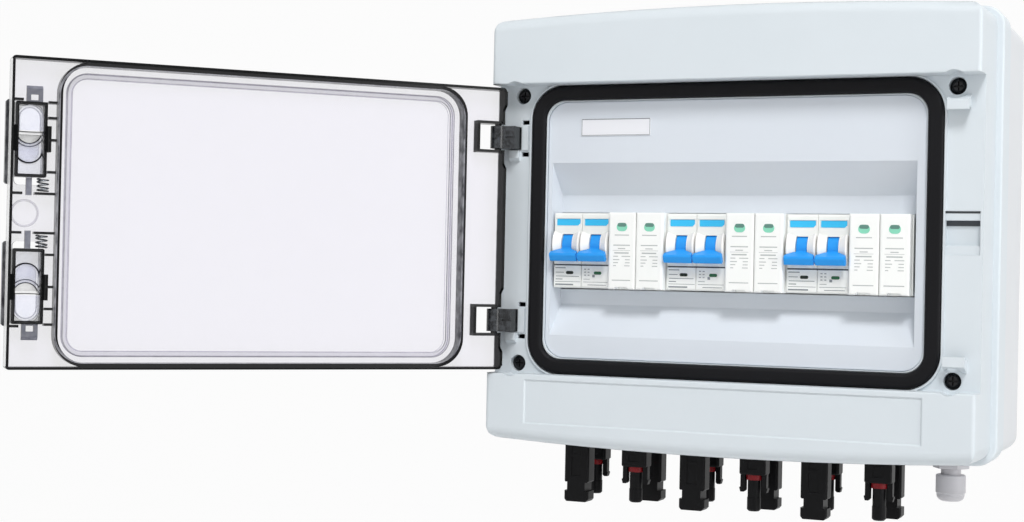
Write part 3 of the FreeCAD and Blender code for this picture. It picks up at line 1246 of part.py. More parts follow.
def make_door():
    body = new_body("door_shape")
    inside = "front - door_sheet"
    sheet_item = rounded(new_sketch(body, "XZ", inside), "door_half_x", "door_half_z", "door_corner")
    pad(body, sheet_item, "door_sheet")
    face = -num("front")
    round_edges(body, "door_round", lambda e: lies(e, y=face))
    rib_height = "(recess - door_sheet + channel_depth - seal_height - rib_gap)"
    ring_pad(
        body, inside, "door_half_x - door_rim_width / 2", "door_half_z - door_rim_width / 2",
        "door_corner - door_rim_width / 2", "door_rim_width", rib_height)
    ring_pad(body, inside, "seal_x", "seal_z", "seal_corner", "rib_width", rib_height)
    for left in ("-door_half_x", "door_half_x - door_rim_width"):
        rim = rectangle(
            new_sketch(body, "XZ", inside + " + 0.5"), left, left + " + door_rim_width",
            "-door_half_z + door_corner", "door_half_z - door_corner")
        pad(body, rim, "door_rim + 0.5", back=True)
    ring_pad(body, inside, "ring_x", "ring_z", "ring_corner", "ring_width", "ring_height")

    for up in (1, -1):
        s = "%d * " % up
        low, high = "hinge_z - hinge_half - hinge_window", "hinge_z + hinge_half + hinge_window"
        opening = rectangle(
            new_sketch(body, "XZ", "front + 1"), "-door_half_x - 1", "hinge_window_x",
            s + "(%s)" % low, s + "(%s)" % high)
        pocket(body, opening, "door_sheet + door_rim + 2")
        wall = polygon(new_sketch(body, "XZ", inside + " + 0.5"), [
            ("hinge_x", s + "(%s)" % high), ("hinge_window_x", s + "(%s)" % high),
            ("hinge_window_x", s + "(%s)" % low), ("hinge_x", s + "(%s)" % low),
            ("hinge_x", s + "(%s - hinge_wall)" % low),
            ("hinge_window_x + hinge_wall", s + "(%s - hinge_wall)" % low),
            ("hinge_window_x + hinge_wall", s + "(%s + hinge_wall)" % high),
            ("hinge_x", s + "(%s + hinge_wall)" % high)])
        pad(body, wall, "hinge_wall_height - 0.5", back=True)
        relief = polygon(new_sketch(body, "YZ", "-door_half_x - 1"), [
            ("-rim_relief_depth", s + "(hinge_z - rim_relief)"),
            ("-rim_relief_depth", s + "(hinge_z + rim_relief)"),
            ("-front + door_sheet + door_rim + 1", s + "(hinge_z + rim_relief + 4)"),
            ("-front + door_sheet + door_rim + 1", s + "(hinge_z - rim_relief - 4)")])
        pocket(body, relief, "door_rim_width + 1.2", back=True)
        for start in (low + " - hinge_wall", high):
            foot = start if up > 0 else "-(%s) - hinge_wall" % start
            ear = circle(new_sketch(body, "XY", foot), "hinge_x", "-hinge_depth", "ear_r")
            pad(body, ear, "hinge_wall")
        bar = circle(
            new_sketch(body, "XY", s + "hinge_z - hinge_half - hinge_window - hinge_wall"),
            "hinge_x", "-hinge_depth", "hinge_bar_r")
        pad(body, bar, "2 * (hinge_half + hinge_window + hinge_wall)")

        rib_edge = "seal_x + rib_width / 2 - 0.3"
        ribs = [(rib_edge, "stem_left - 1.8", "stop_z"),
                ("stem_left + stem_width + 1.8", "door_half_x - door_rim_width / 2", "stop_z")]
        ribs += [(rib_edge, "latch_left - 0.7", z) for z in ("22.5", "40", "52", "60.5")]
        ribs += [("hook_right + 1.4", "door_half_x - door_rim_width / 2", "latch_high + 1.2")]
        for left, right, z in ribs:
            rib = rectangle(
                new_sketch(body, "XZ", inside + " + 0.5"), left, right,
                s + "(%s - stiffener / 2)" % z, s + "(%s + stiffener / 2)" % z)
            pad(body, rib, "stiffener_height + 0.5", back=True)

        guide = polygon(new_sketch(body, "XY", s + ("guide_low" if up > 0 else "guide_high")), [
            ("latch_left - guide_gap - guide_thick", "-front + door_sheet - 0.5"),
            ("latch_left - guide_gap", "-front + door_sheet - 0.5"),
            ("latch_left - guide_gap", "-latch_back + hook_gap"),
            ("latch_left + guide_lip", "-latch_back + hook_gap"),
            ("latch_left + guide_lip", "-front + door_sheet + door_rim"),
            ("latch_left - guide_gap - guide_thick", "-front + door_sheet + door_rim")])
        pad(body, guide, "guide_high - guide_low")
        lip = rectangle(
            new_sketch(body, "XZ", "latch_back - hook_gap"),
            "latch_right - guide_lip", "door_half_x - door_rim_width / 2",
            s + "guide_low", s + "guide_high")
        pad(body, lip, "latch_back - hook_gap - front + door_sheet + door_rim", back=True)

        thumb = rounded(
            new_sketch(body, "XZ", "front + 1"),
            "(scoop_right - scoop_left) / 2 + cut_gap", "(scoop_high + cut_gap - cut_low) / 2",
            "cut_corner", "(scoop_right + scoop_left) / 2", s + "(scoop_high + cut_gap + cut_low) / 2")
        pocket(body, thumb, "door_sheet + 1.5")

        grip = polygon(new_sketch(body, "XZ", "front"), [
            ("door_half_x - 1", s + "grip_low"), ("door_half_x + grip_reach - grip_bevel", s + "grip_low"),
            ("door_half_x + grip_reach", s + "(grip_low + grip_bevel)"),
            ("door_half_x + grip_reach", s + "(grip_high - grip_bevel)"),
            ("door_half_x + grip_reach - grip_bevel", s + "grip_high"), ("door_half_x - 1", s + "grip_high")])
        pad(body, grip, "grip_thick", back=True)

    boss = new_sketch(body, "XZ", inside + " + 0.5")
    circle(boss, "boss_x", "0", "boss_r")
    circle(boss, "boss_x", "0", "boss_r - 0.7")
    pad(body, boss, "1.1", back=True)
    return node("door", swing(body))


def make_latch(name, up):
    """Spring latch: a frame with a thumb scoop, a hook at one end and a stem at the other."""
    s = "%d * " % up
    front = "(front - door_sheet - latch_gap)"
    body = new_body(name + "_shape")
    pad(body, rectangle(
        new_sketch(body, "XZ", "latch_back"), "latch_left", "latch_right",
        s + "latch_low", s + "latch_high"), front + " - latch_back")
    corners = [(num(x), num(s + z)) for x in ("latch_left", "latch_right")
               for z in ("latch_low", "latch_high")]
    round_edges(body, "latch_round", lambda e: any(lies(e, x=x, z=z) for x, z in corners))
    pocket(body, rectangle(
        new_sketch(body, "XZ", "latch_back"), "latch_left + latch_wall", "latch_right - latch_wall",
        s + "(latch_low + latch_wall)", s + "(latch_high - latch_wall)"),
        front + " - latch_back - latch_floor", back=True)
    middle = "(scoop_left + scoop_right) / 2"
    half = "(scoop_right - scoop_left) / 2"
    arch_z = "(scoop_high - (%s))" % half
    pad(body, arch(
        new_sketch(body, "XZ", front), middle, s + "(scoop_low - scoop_wall)", s + arch_z, half + " + 0.3"),
        "scoop_depth + scoop_wall", back=True)
    for end in ("scoop_low - 2 * scoop_wall - dish_step", "scoop_low - 2 * scoop_wall"):
        ridge = arch(
            new_sketch(body, "XZ", front + " - latch_floor + 0.2"), middle, s + "(scoop_low - 0.4)",
            s + "(%s)" % end, half + " - 0.3")
        pad(body, ridge, "dish_height + 0.2", back=True)
        inner = arch(
            new_sketch(body, "XZ", front + " - latch_floor"), middle, s + "(scoop_low - 0.4 - dish_line)",
            s + "(%s)" % end, half + " - 0.3 - dish_line")
        pocket(body, inner, "dish_height", back=True)
    scoop = new_body(name + "_scoop")
    pad(scoop, arch(
        new_sketch(scoop, "XZ", front + " - scoop_depth"), middle, s + "scoop_low", s + arch_z,
        half + " - scoop_wall + 0.3"), "scoop_depth + 1")
    deep = -num(front + " - scoop_depth")
    top = num(s + arch_z)
    round_edges(scoop, "scoop_wall", lambda e: lies(e, y=deep) and up * (e.BoundBox.Center.z - top) > 1)

    face = "(front - door_sheet - latch_gap - latch_floor - 0.6 - keeper_sheet - keeper_gap)"
    hook = polygon(new_sketch(body, "YZ", "hook_left"), [
        ("-" + face, s + "(latch_high - latch_wall)"),
        ("-" + face, s + "(hook_tip)"),
        ("-%s + hook_thick - hook_ramp" % face, s + "hook_tip"),
        ("-%s + hook_thick" % face, s + "(hook_tip - hook_ramp)"),
        ("-%s + hook_thick" % face, s + "(latch_high - latch_wall)")])
    pad(body, hook, "hook_right - hook_left")
    pocket(body, rectangle(
        new_sketch(body, "XZ", "latch_back + 8"), "hook_left + 2.2", "hook_right - 2.2",
        s + "(latch_high + 0.8)", s + "(latch_high + 4)"), "12")
    stem = rectangle(
        new_sketch(body, "XZ", "latch_back + 1.5"), "stem_left", "stem_left + stem_width",
        s + "stem_end", s + "(latch_low + latch_wall)")
    pad(body, stem, "3")
    made = cut(name + "_cut", body, [scoop])
    return node(name, swing(made))


def make_latch_spring(name, up):
    """Compression spring between a latch and the stop rib of the door."""
    turns = doc.addObject("Part::Helix", name + "_line")
    bind(turns, "Pitch", "spring_pitch")
    bind(turns, "Height", "latch_low - stop_z - stiffener / 2 - 2 * spring_wire - 0.4")
    bind(turns, "Radius", "spring_r - spring_wire")
    wire = doc.addObject("Part::RegularPolygon", name + "_wire")
    wire.Polygon = 6
    bind(wire, "Circumradius", "spring_wire")
    wire.Placement.Rotation = FreeCAD.Rotation(Vector(1, 0, 0), 90)
    place(wire, "spring_r - spring_wire")
    sweep = doc.addObject("Part::Sweep", name + "_sweep")
    sweep.Sections = [wire]
    doc.recompute()
    sweep.Spine = (turns, edges_of(turns.Shape, lambda e: True))
    sweep.Solid = True
    sweep.Frenet = True
    low = "stop_z + stiffener / 2 + spring_wire + 0.2"
    place(
        sweep, "spring_x", "-(latch_back + front - door_sheet) / 2",
        low if up > 0 else "-latch_low + spring_wire + 0.2")
    carried = group(name + "_group", [sweep])
    return node(name, swing(carried))


def make_hinge_clip(name, up):
    """C-shaped clip on the frame that the door's hinge bar snaps into."""
    z = "%d * hinge_z - hinge_half" % up
    length = "2 * hinge_half"
    ring = rod(name + "_ring", "hinge_clip_r", length, "hinge_x", "-hinge_depth", z)
    foot = block(
        name + "_foot", "hinge_x + 1.5", "-hinge_depth - 1.6", z,
        "hinge_foot_x", "hinge_depth + 1.6 - front + recess", length)
    web = block(
        name + "_web", "hinge_x", "-hinge_depth - 1.6", z, "3", "hinge_clip_r + 1.2", length)
    bore = rod(
        name + "_bore", "hinge_bar_r + hinge_gap", length + " + 2",
        "hinge_x", "-hinge_depth", z + " - 1")
    mouth = block(
        name + "_mouth", "hinge_x - hinge_clip_r - 1", "-hinge_depth - hinge_mouth / 2", z + " - 1",
        "hinge_clip_r + 1", "hinge_mouth", length + " + 2")
    waist = block(
        name + "_waist", "hinge_x + 5.6", "-hinge_depth - 3", z + " + hinge_half - 0.5",
        "hinge_foot_x", "2.6", "1")
    made = cut(name + "_cut", fuse(name + "_solid", [ring, web, foot]), [bore, mouth, waist])
    return node(name, made)


# Panel connectors and gland, all through the lower wall

def connector_places():
    """Sockets and plugs change places from one column to the next and from row to row."""
    for i in range(CONNECTORS):
        x = "connector_x + %d * connector_pitch" % i
        front, back = ("socket", "plug") if i % 2 == 0 else ("plug", "socket")
        yield front, x, "-row_front"
        yield back, x, "-row_back"


def connector_head(body):
    """Threaded stub through the wall, and the top of the housing under it."""
    stub = circle(new_sketch(body, "XY", "-1"), "0", "0", "thread_r")
    pad(body, stub, "thread_length + 1")


def housing_recess(body, low, high, bar):
    """A shallow recess in the front and back faces with a bar left across it."""
    for side in (1, -1):
        item = new_sketch(body, "XZ", "%d * (shell_half_y - shell_panel_drop)" % side)
        rectangle(item, "-shell_panel", "shell_panel", low, "%s - shell_rib / 2" % bar)
        rectangle(item, "-shell_panel", "shell_panel", "%s + shell_rib / 2" % bar, high)
        pocket(body, item, "2", back=side > 0)


def make_socket(number, x, y):
    body = new_body("pv_socket_%d_shape" % number)
    side = "shell_half_x"
    notch = "(shell_half_x - notch_depth)"
    outline = [
        (side, "0"), (side, "-socket_neck + 0.8"), (side + " - 0.8", "-socket_neck"),
        (notch, "-socket_neck"), (notch, "-socket_neck - notch_height"),
        (side, "-socket_neck - notch_height"), (side, "-socket_length + socket_chamfer"),
        (side + " - socket_chamfer", "-socket_length")]
    mirrored = [("-(%s)" % px, pz) for px, pz in reversed(outline)]
    item = polygon(new_sketch(body, "XZ", "-shell_half_y"), outline + mirrored)
    pad(body, item, "2 * shell_half_y")
    sides = [num("shell_half_x"), -num("shell_half_x")]
    faces = [num("shell_half_y"), -num("shell_half_y")]
    round_edges(body, "shell_round", lambda e: any(lies(e, x=px, y=py) for px in sides for py in faces))
    housing_recess(body, "-socket_neck + 4", "-3.5", "-13.5")
    connector_head(body)
    bore = circle(new_sketch(body, "XY", "-socket_length"), "0", "0", "socket_bore")
    pocket(body, bore, "socket_bore_length", back=True)
    contact = circle(new_sketch(body, "XY", "-socket_length + socket_bore_length"), "0", "0", "1.6")
    pocket(body, contact, "10", back=True)
    place(body, x, y, "-base_half_z")
    return node("pv_socket_%d" % number, body)


def make_plug(number, x, y):
    body = new_body("pv_plug_%d_shape" % number)
    collar = rounded(
        new_sketch(body, "XY", "-plug_collar"), "shell_half_x", "shell_half_y", "shell_round")
    pad(body, collar, "plug_collar")
    doc.recompute()
    low = num("-plug_collar")
    round_edges(body, "1.2", lambda e: lies(e, z=low))
    housing_recess(body, "-plug_collar + 3.5", "-3.5", "-9.5")
    connector_head(body)
    nose = circle(new_sketch(body, "XY", "-plug_length + 1"), "0", "0", "plug_r - plug_waist")
    pad(body, nose, "plug_length - plug_collar")
    land = circle(new_sketch(body, "XY", "-plug_length"), "0", "0", "plug_r")
    pad(body, land, "plug_land")
    tip = num("-plug_length")
    round_edges(body, "plug_tip", lambda e: lies(e, z=tip), kind="Chamfer")
    for side in (1, -1):
        s = "%d * " % side
        prong = polygon(new_sketch(body, "XZ", "-prong_half_y"), [
            (s + "(prong_x - prong_half)", "-plug_collar + 1"),
            (s + "(prong_x - prong_half)", "-plug_collar - prong_length + 1"),
            (s + "(prong_x - prong_half + 1)", "-plug_collar - prong_length"),
            (s + "(prong_x + prong_half)", "-plug_collar - prong_length"),
            (s + "(prong_x + prong_half + prong_barb)", "-plug_collar - prong_length + 2.6"),
            (s + "(prong_x + prong_half)", "-plug_collar - prong_length + 3.2"),
            (s + "(prong_x + prong_half)", "-plug_collar + 1")])
        pad(body, prong, "2 * prong_half_y")
    hole = circle(new_sketch(body, "XY", "-plug_length"), "0", "0", "contact_r")
    pocket(body, hole, "contact_depth", back=True)
    place(body, x, y, "-base_half_z")
    return node("pv_plug_%d" % number, body)


def hexagon(name, corner_r, height, x, y, z):
    made = doc.addObject("Part::Prism", name)
    made.Polygon = 6
    bind(made, "Circumradius", corner_r)
    bind(made, "Height", height)
    place(made, x, y, z)
    return made


def make_connectors():
    counts = {"socket": 0, "plug": 0}
    seals, nuts, pins = [], [], []
    for kind, x, y in connector_places():
        counts[kind] += 1
        if kind == "socket":
            make_socket(counts[kind], x, y)
        else:
            make_plug(counts[kind], x, y)
            ring = rod("seal_ring", "ring_r", "ring_thick", x, y, "-base_half_z - plug_collar - ring_thick")
            hole = rod(
                "seal_hole", "plug_r - plug_waist + pilot_gap", "ring_thick + 2", x, y,
                "-base_half_z - plug_collar - ring_thick - 1")
            seals.append(cut("red_seal", ring, [hole]))
        nut = hexagon("nut_blank", "nut_r", "nut_height", x, y, "-base_half_z + wall")
        hole = rod("nut_hole", "thread_r + pilot_gap", "nut_height + 2", x, y, "-base_half_z + wall - 1")
        nuts.append(cut("panel_nut", nut, [hole]))
    node("connector_seals", group("seal_group", seals))
    node("connector_nuts", group("nut_group", nuts))


def make_gland():
    top = "-base_half_z"
    x, y = "gland_x", "-gland_y"
    body = new_body("gland_shape")
    item = polygon(new_sketch(body, "XZ"), [
        ("gland_bore + 1.6", "12"), ("gland_thread_r", "12"), ("gland_thread_r", "-1"),
        ("gland_neck_r", "-1"), ("gland_neck_r", "-gland_neck"), ("gland_bore + 1.6", "-gland_neck")])
    revolve(body, item)
    place(body, x, y, top)
    flange = cut(
        "gland_hexagon", hexagon("gland_flange_blank", "gland_flange_r", "gland_flange", x, y,
                                 top + " - gland_flange"),
        [rod("gland_flange_hole", "gland_neck_r - 0.5", "gland_flange + 2", x, y,
             top + " - gland_flange - 1")])
    node("gland_body", fuse("gland_body_solid", [body, flange]))

    cap = new_body("gland_cap_shape")
    inner = "gland_cap_r - gland_step"
    item = polygon(new_sketch(cap, "XZ"), [
        ("gland_neck_r + gland_gap", "-gland_cap_top"), ("gland_cap_r", "-gland_cap_top"),
        ("gland_cap_r", "-gland_cap_step + gland_step"), (inner, "-gland_cap_step"),
        (inner, "-gland_cap_end"), ("gland_mouth", "-gland_cap_end"),
        ("gland_mouth", "-gland_cap_end + 3"), ("gland_neck_r + gland_gap", "-gland_neck - gland_gap - 2")])
    revolve(cap, item)
    low, top_edge = num("-gland_cap_end"), num("-gland_cap_top")
    wide = num("2 * (gland_cap_r - gland_step) - 1")
    round_edges(cap, "gland_dome", lambda e: lies(e, z=low) and e.BoundBox.XLength > wide)
    round_edges(cap, "1", lambda e: lies(e, z=top_edge) and e.BoundBox.XLength > wide)
    place(cap, x, y, top)
    node("gland_cap", cap)

    seal = new_body("gland_seal_shape")
    item = polygon(new_sketch(seal, "XZ"), [
        ("gland_bore", "-gland_cap_end + 3.4"), ("gland_mouth - gland_gap", "-gland_cap_end + 3.4"),
        ("gland_neck_r - 3 * gland_gap", "-gland_neck - gland_gap - 2.5"),
        ("gland_neck_r - 3 * gland_gap", "-gland_neck - gland_gap"),
        ("gland_bore + 1.3", "-gland_neck - gland_gap"), ("gland_bore + 1.3", "-gland_neck + 6"),
        ("gland_bore", "-gland_neck + 6")])
    revolve(seal, item)
    place(seal, x, y, top)
    node("gland_seal", seal)

    nut = hexagon("gland_nut_blank", "nut_r", "nut_height", x, y, "-base_half_z + wall")
    hole = rod(
        "gland_nut_hole", "gland_thread_r + pilot_gap", "nut_height + 2", x, y,
        "-base_half_z + wall - 1")
    node("gland_locknut", cut("gland_locknut_cut", nut, [hole]))


def make_earth_bar():
    body = new_body("earth_bar_shape")
    item = rectangle(
        new_sketch(body, "XZ", "earth_depth"), "earth_x - earth_half", "earth_x + earth_half",
        "earth_z - earth_height / 2", "earth_z + earth_height / 2")
    pad(body, item, "earth_thick")
    wires = new_sketch(body, "XY", "earth_z - earth_height / 2")
    screws = new_sketch(body, "XZ", "earth_depth + earth_thick")
    for i in range(EARTH_WIRES):
        x = "earth_x + (%d - %d / 2) * earth_pitch" % (i, EARTH_WIRES - 1)
        circle(wires, x, "-earth_depth - earth_thick / 2", "earth_hole_r")
        circle(screws, x, "earth_z", "earth_screw_r")
    pocket(body, wires, "earth_height", back=True)
    pocket(body, screws, "earth_thick / 2")
    return node("earth_bar", body)


make_base_box()
make_frame_seal()
make_front_frame()
make_door_seal()
make_inner_mask()
make_label_plate()
make_din_rail()
make_screws()
for pair in range(DEVICE_PAIRS):
    make_breaker(pair + 1, 2 * pair)
    make_handle(pair + 1, 2 * pair)
    make_surge_base(pair + 1, 2 * pair + 1)
    for offset, side in enumerate((-1, 1)):
        make_cartridge(2 * pair + 1 + offset, device_x(2 * pair + 1), side)
for index in range(2 * DEVICE_PAIRS):
    make_rail_clip(index + 1, index)
make_terminal_screws()
make_door()
make_latch("latch_upper", 1)
make_latch("latch_lower", -1)
make_latch_spring("latch_spring_upper", 1)
make_latch_spring("latch_spring_lower", -1)
make_hinge_clip("hinge_clip_upper", 1)
make_hinge_clip("hinge_clip_lower", -1)
make_connectors()
make_gland()
make_earth_bar()
doc.recompute()

faults = [item.Label for item in doc.Objects if {"Invalid", "Error"} & set(item.State)]
assert not faults, "not computed: " + ", ".join(faults)
for name, item in nodes.items():
    assert not item.Shape.isNull() and item.Shape.isValid(), name + " has no valid shape"
os.makedirs("parts", exist_ok=True)
for name, item in nodes.items():
    item.Shape.exportStep("parts/%s.step" % name)
    print(name, len(item.Shape.Solids), round(item.Shape.Volume))
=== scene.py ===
import bmesh
import bpy
import math
from mathutils import Matrix, Vector


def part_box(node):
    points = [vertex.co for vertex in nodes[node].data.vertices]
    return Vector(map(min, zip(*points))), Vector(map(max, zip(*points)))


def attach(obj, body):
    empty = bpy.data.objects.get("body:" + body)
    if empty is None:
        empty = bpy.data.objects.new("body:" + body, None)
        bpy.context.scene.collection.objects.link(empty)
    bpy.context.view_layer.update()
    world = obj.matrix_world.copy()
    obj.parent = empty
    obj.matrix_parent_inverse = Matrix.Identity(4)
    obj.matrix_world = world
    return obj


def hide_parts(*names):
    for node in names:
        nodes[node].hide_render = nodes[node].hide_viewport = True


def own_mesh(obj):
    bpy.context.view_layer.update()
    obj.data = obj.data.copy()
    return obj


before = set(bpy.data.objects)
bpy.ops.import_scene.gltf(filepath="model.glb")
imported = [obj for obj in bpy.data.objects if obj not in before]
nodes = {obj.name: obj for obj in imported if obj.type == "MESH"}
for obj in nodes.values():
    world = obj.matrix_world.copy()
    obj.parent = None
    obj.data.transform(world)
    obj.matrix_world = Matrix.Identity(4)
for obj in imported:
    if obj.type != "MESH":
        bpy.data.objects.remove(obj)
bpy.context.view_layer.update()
mm = 0.001  # in metres
scene = bpy.context.scene
print("frame loaded:", len(nodes), "nodes")


# Node and material helpers

def linear(code):
    # an sRGB hex colour as the linear numbers that the sockets take
    parts = [int(code[i:i + 2], 16) / 255 for i in (1, 3, 5)]
    return [c / 12.92 if c <= 0.04045 else ((c + 0.055) / 1.055) ** 2.4 for c in parts] + [1]


def addNode(tree, kind, settings={}, links={}):
    # settings in small letters are the node's own, those with a capital or a number are its
    # sockets; a Mix of colours takes them at 6 and 7 and gives the result at 2
    node = tree.nodes.new(kind)
    for name, value in settings.items():
        if isinstance(name, str) and name[0].islower():
            setattr(node, name, value)
        else:
            node.inputs[name].default_value = value
    for name, socket in links.items():
        tree.links.new(socket, node.inputs[name])
    return node


def newMaterial(name):
    material = bpy.data.materials.new(name)
    material.use_nodes = True
    material.node_tree.nodes.clear()
    return material, material.node_tree


# what an opaque finish has unless it says otherwise: cloud size and edge radius in millimetres,
# relief as a share of the grain, spread of the roughness to both sides
usual = {"cloud": 70, "edge": 0.4, "relief": 0.1, "spread": 0.05, "bump": 0.15, "specular": 0.5,
         "ior": 1.53, "metal": False}


def opaqueFinish(name, look):
    # One colour with a faint cloudy variation, and a fine grain that breaks up the highlights.
    # The bevel gives every edge the small radius that moulded, drawn and turned parts have.
    look = {**usual, **look}
    material, tree = newMaterial(name)
    coords = addNode(tree, "ShaderNodeTexCoord")
    cloud = addNode(tree, "ShaderNodeTexNoise", {"Scale": 1 / (look["cloud"] * mm), "Detail": 2.0},
                    {"Vector": coords.outputs["Object"]})
    grain = addNode(tree, "ShaderNodeTexNoise", {"Scale": 1 / (look["grain"] * mm), "Detail": 3.0},
                    {"Vector": coords.outputs["Object"]})
    colour = addNode(tree, "ShaderNodeMix", {
        "data_type": "RGBA", 6: linear(look["colour"]), 7: linear(look["shade"])},
        {0: cloud.outputs["Fac"]})
    rough = addNode(tree, "ShaderNodeMapRange", {
        "To Min": look["roughness"] - look["spread"], "To Max": look["roughness"] + look["spread"]},
        {"Value": grain.outputs["Fac"]})
    edge = addNode(tree, "ShaderNodeBevel", {"samples": 4, "Radius": look["edge"] * mm})
    bump = addNode(tree, "ShaderNodeBump", {
        "Strength": look["bump"], "Distance": look["grain"] * look["relief"] * mm},
        {"Height": grain.outputs["Fac"], "Normal": edge.outputs["Normal"]})
    body = {"Metallic": 1.0} if look["metal"] else {"IOR": look["ior"]}
    shader = addNode(tree, "ShaderNodeBsdfPrincipled", {
        "Specular IOR Level": look["specular"], **body}, {
        "Base Color": colour.outputs[2], "Roughness": rough.outputs["Result"],
        "Normal": bump.outputs["Normal"]})
    addNode(tree, "ShaderNodeOutputMaterial", {}, {"Surface": shader.outputs["BSDF"]})
    return material


finishes = {
    # ABS, moulded with a fine matte skin: cool light grey with soft, wide highlights
    "shellAbs": {"colour": "#d8dfe4", "shade": "#d2dadf", "roughness": 0.42, "grain": 1.1,
                 "edge": 0.7, "specular": 0.35},
    # the same ABS on the rear box, a touch more neutral
    "rearShellAbs": {"colour": "#dcdfe2", "shade": "#d7dade", "roughness": 0.42, "grain": 1.1,
                     "edge": 0.8, "specular": 0.35},
    # ABS of the touch guard, moulded smoother than the shell, so its highlights are tighter
    "guardAbs": {"colour": "#d9dfe6", "shade": "#d4dae2", "roughness": 0.38, "grain": 1.1,
                 "edge": 0.5, "specular": 0.35},
    # bare paper-faced strip under clear film: near white with a light sheen
    "labelPaper": {"colour": "#ebecf0", "shade": "#e5e6eb", "roughness": 0.35, "grain": 1.4,
                   "edge": 0.1},
    # closed-cell EPDM foam with a skin: black and dull, so it mirrors little
    "sealFoam": {"colour": "#0c0c0f", "shade": "#131316", "roughness": 0.5, "grain": 0.9,
                 "edge": 0.6, "bump": 0.5, "ior": 1.5, "specular": 0.14},
    # moulded polyamide of the device bodies: light warm grey white, satin
    "devicePolyamide": {"colour": "#f4f5f2", "shade": "#eef0ed", "roughness": 0.36, "grain": 0.9,
                        "edge": 0.25, "specular": 0.4},
    # the shoulders beside the toggles come from a polished mould, so they are glossier; their
    # colour is a touch brighter than the body's as painted light on their lit fronts
    "shoulderPolyamideLit": {"colour": "#f8f7f4", "shade": "#f2f1ee", "roughness": 0.25,
                          "grain": 0.9, "edge": 0.3},
    # blue moulded polyamide toggles with a light gloss
    "togglePolyamide": {"colour": "#2a9ef2", "shade": "#2596ea", "roughness": 0.3, "grain": 1.2,
                        "edge": 0.5, "bump": 0.05, "specular": 0.25},
    # moulded PBT cartridges: bright white, satin
    "cartridgePbt": {"colour": "#f8f9f7", "shade": "#f3f5f3", "roughness": 0.35, "grain": 0.9,
                     "edge": 0.3, "specular": 0.35},
    # mid grey moulded polyamide rail catches
    "catchPolyamide": {"colour": "#c3c8cc", "shade": "#bcc1c6", "roughness": 0.4, "grain": 0.9},
    # black glass-filled polyamide connectors, with an eroded matte skin that mirrors little
    "connectorPolyamide": {"colour": "#08080a", "shade": "#0e0e10", "roughness": 0.42,
                           "grain": 0.8, "edge": 0.35, "bump": 0.35, "specular": 0.13},
    # moulded silicone seal rings: dark red with a soft sheen
    "sealSilicone": {"colour": "#84151b", "shade": "#74121a", "roughness": 0.35, "grain": 0.8,
                     "ior": 1.41, "specular": 0.35},
    # light grey moulded polyamide gland
    "glandPolyamide": {"colour": "#c8c7cb", "shade": "#bfbec3", "roughness": 0.4, "grain": 0.9},
    # moulded chloroprene insert of the gland: dark grey and dull
    "insertRubber": {"colour": "#2a2b2e", "shade": "#242528", "roughness": 0.6, "grain": 0.8,
                     "ior": 1.56},
    # zinc plated steel: bright, with soft mirror images
    "platedSteel": {"colour": "#b9bcc0", "shade": "#a9adb2", "roughness": 0.3, "grain": 0.5,
                    "metal": True, "bump": 0.05},
    # oiled spring steel wire, darker than the plated parts
    "springSteel": {"colour": "#7c7f84", "shade": "#6c6f74", "roughness": 0.3, "grain": 0.5,
                    "metal": True, "bump": 0.05},
    # steel screws under black lacquer, which hides the metal
    "lacqueredSteel": {"colour": "#101217", "shade": "#0a0b0f", "roughness": 0.34, "grain": 0.5,
                       "bump": 0.1, "specular": 0.3},
    # cyan label paper behind the film of a tag window
    "tagPaper": {"colour": "#3ec2f3", "shade": "#38baee", "roughness": 0.35, "grain": 1.0,
                 "edge": 0.1, "specular": 0.3},
    # glossy film of a cartridge's status window: mint, with a grey green painted shadow over its
    # upper half, where its recess shades it
    "statusFilm": {"colour": "#8fdcc0", "shade": "#7fd0b3", "roughness": 0.25, "grain": 1.0,
                   "edge": 0.1},
    "statusPaintedShadow": {"colour": "#5f8d80", "shade": "#557f74", "roughness": 0.25, "grain": 1.0,
                    "edge": 0.1},
    # polished acrylic contact windows of a breaker: one near black, the one beside it green
    "windowDark": {"colour": "#12241c", "shade": "#0d1b15", "roughness": 0.2, "grain": 1.0,
                   "edge": 0.1, "specular": 0.3},
    "windowGreen": {"colour": "#2b6a48", "shade": "#235c3d", "roughness": 0.2, "grain": 1.0,
                    "edge": 0.1, "specular": 0.3},
    # painted shadow: a dark, dull colour on thin plates where the moulding steps in and lies in
    # shade
    "stepPaintedShadow": {"colour": "#55585c", "shade": "#4b4e52", "roughness": 0.5, "grain": 1.0,
                  "edge": 0.05, "specular": 0.2},
    # pad-printed ink, flat and even: grey on the breakers, paler on the cartridges
    "greyInk": {"colour": "#878d90", "shade": "#7d8387", "roughness": 0.4, "grain": 1.0,
                "edge": 0.05},
    "paleInk": {"colour": "#b4b8b8", "shade": "#acb0b0", "roughness": 0.4, "grain": 1.0,
                "edge": 0.05},
    # drawn brass bar, warm and softly mirroring
    "drawnBrass": {"colour": "#c79f55", "shade": "#b98f45", "roughness": 0.28, "grain": 0.6,
                   "metal": True, "bump": 0.05},
}


# Clear finishes, which follow the place on the open door

# where the door stands: its hinge axis, and the direction that its inner side faces
doorPose = {"angle": 133.0, "hinge": (-142.3, -135.2)}
doorAngle = math.radians(doorPose["angle"])
doorInward = (math.sin(doorAngle), math.cos(doorAngle), 0)


def doorHeight(depth):
    # height along the door's inward direction of a plane at this depth in the shut door
    hingeX, hingeY = doorPose["hinge"]
    return hingeX * doorInward[0] + hingeY * doorInward[1] - hingeY - depth


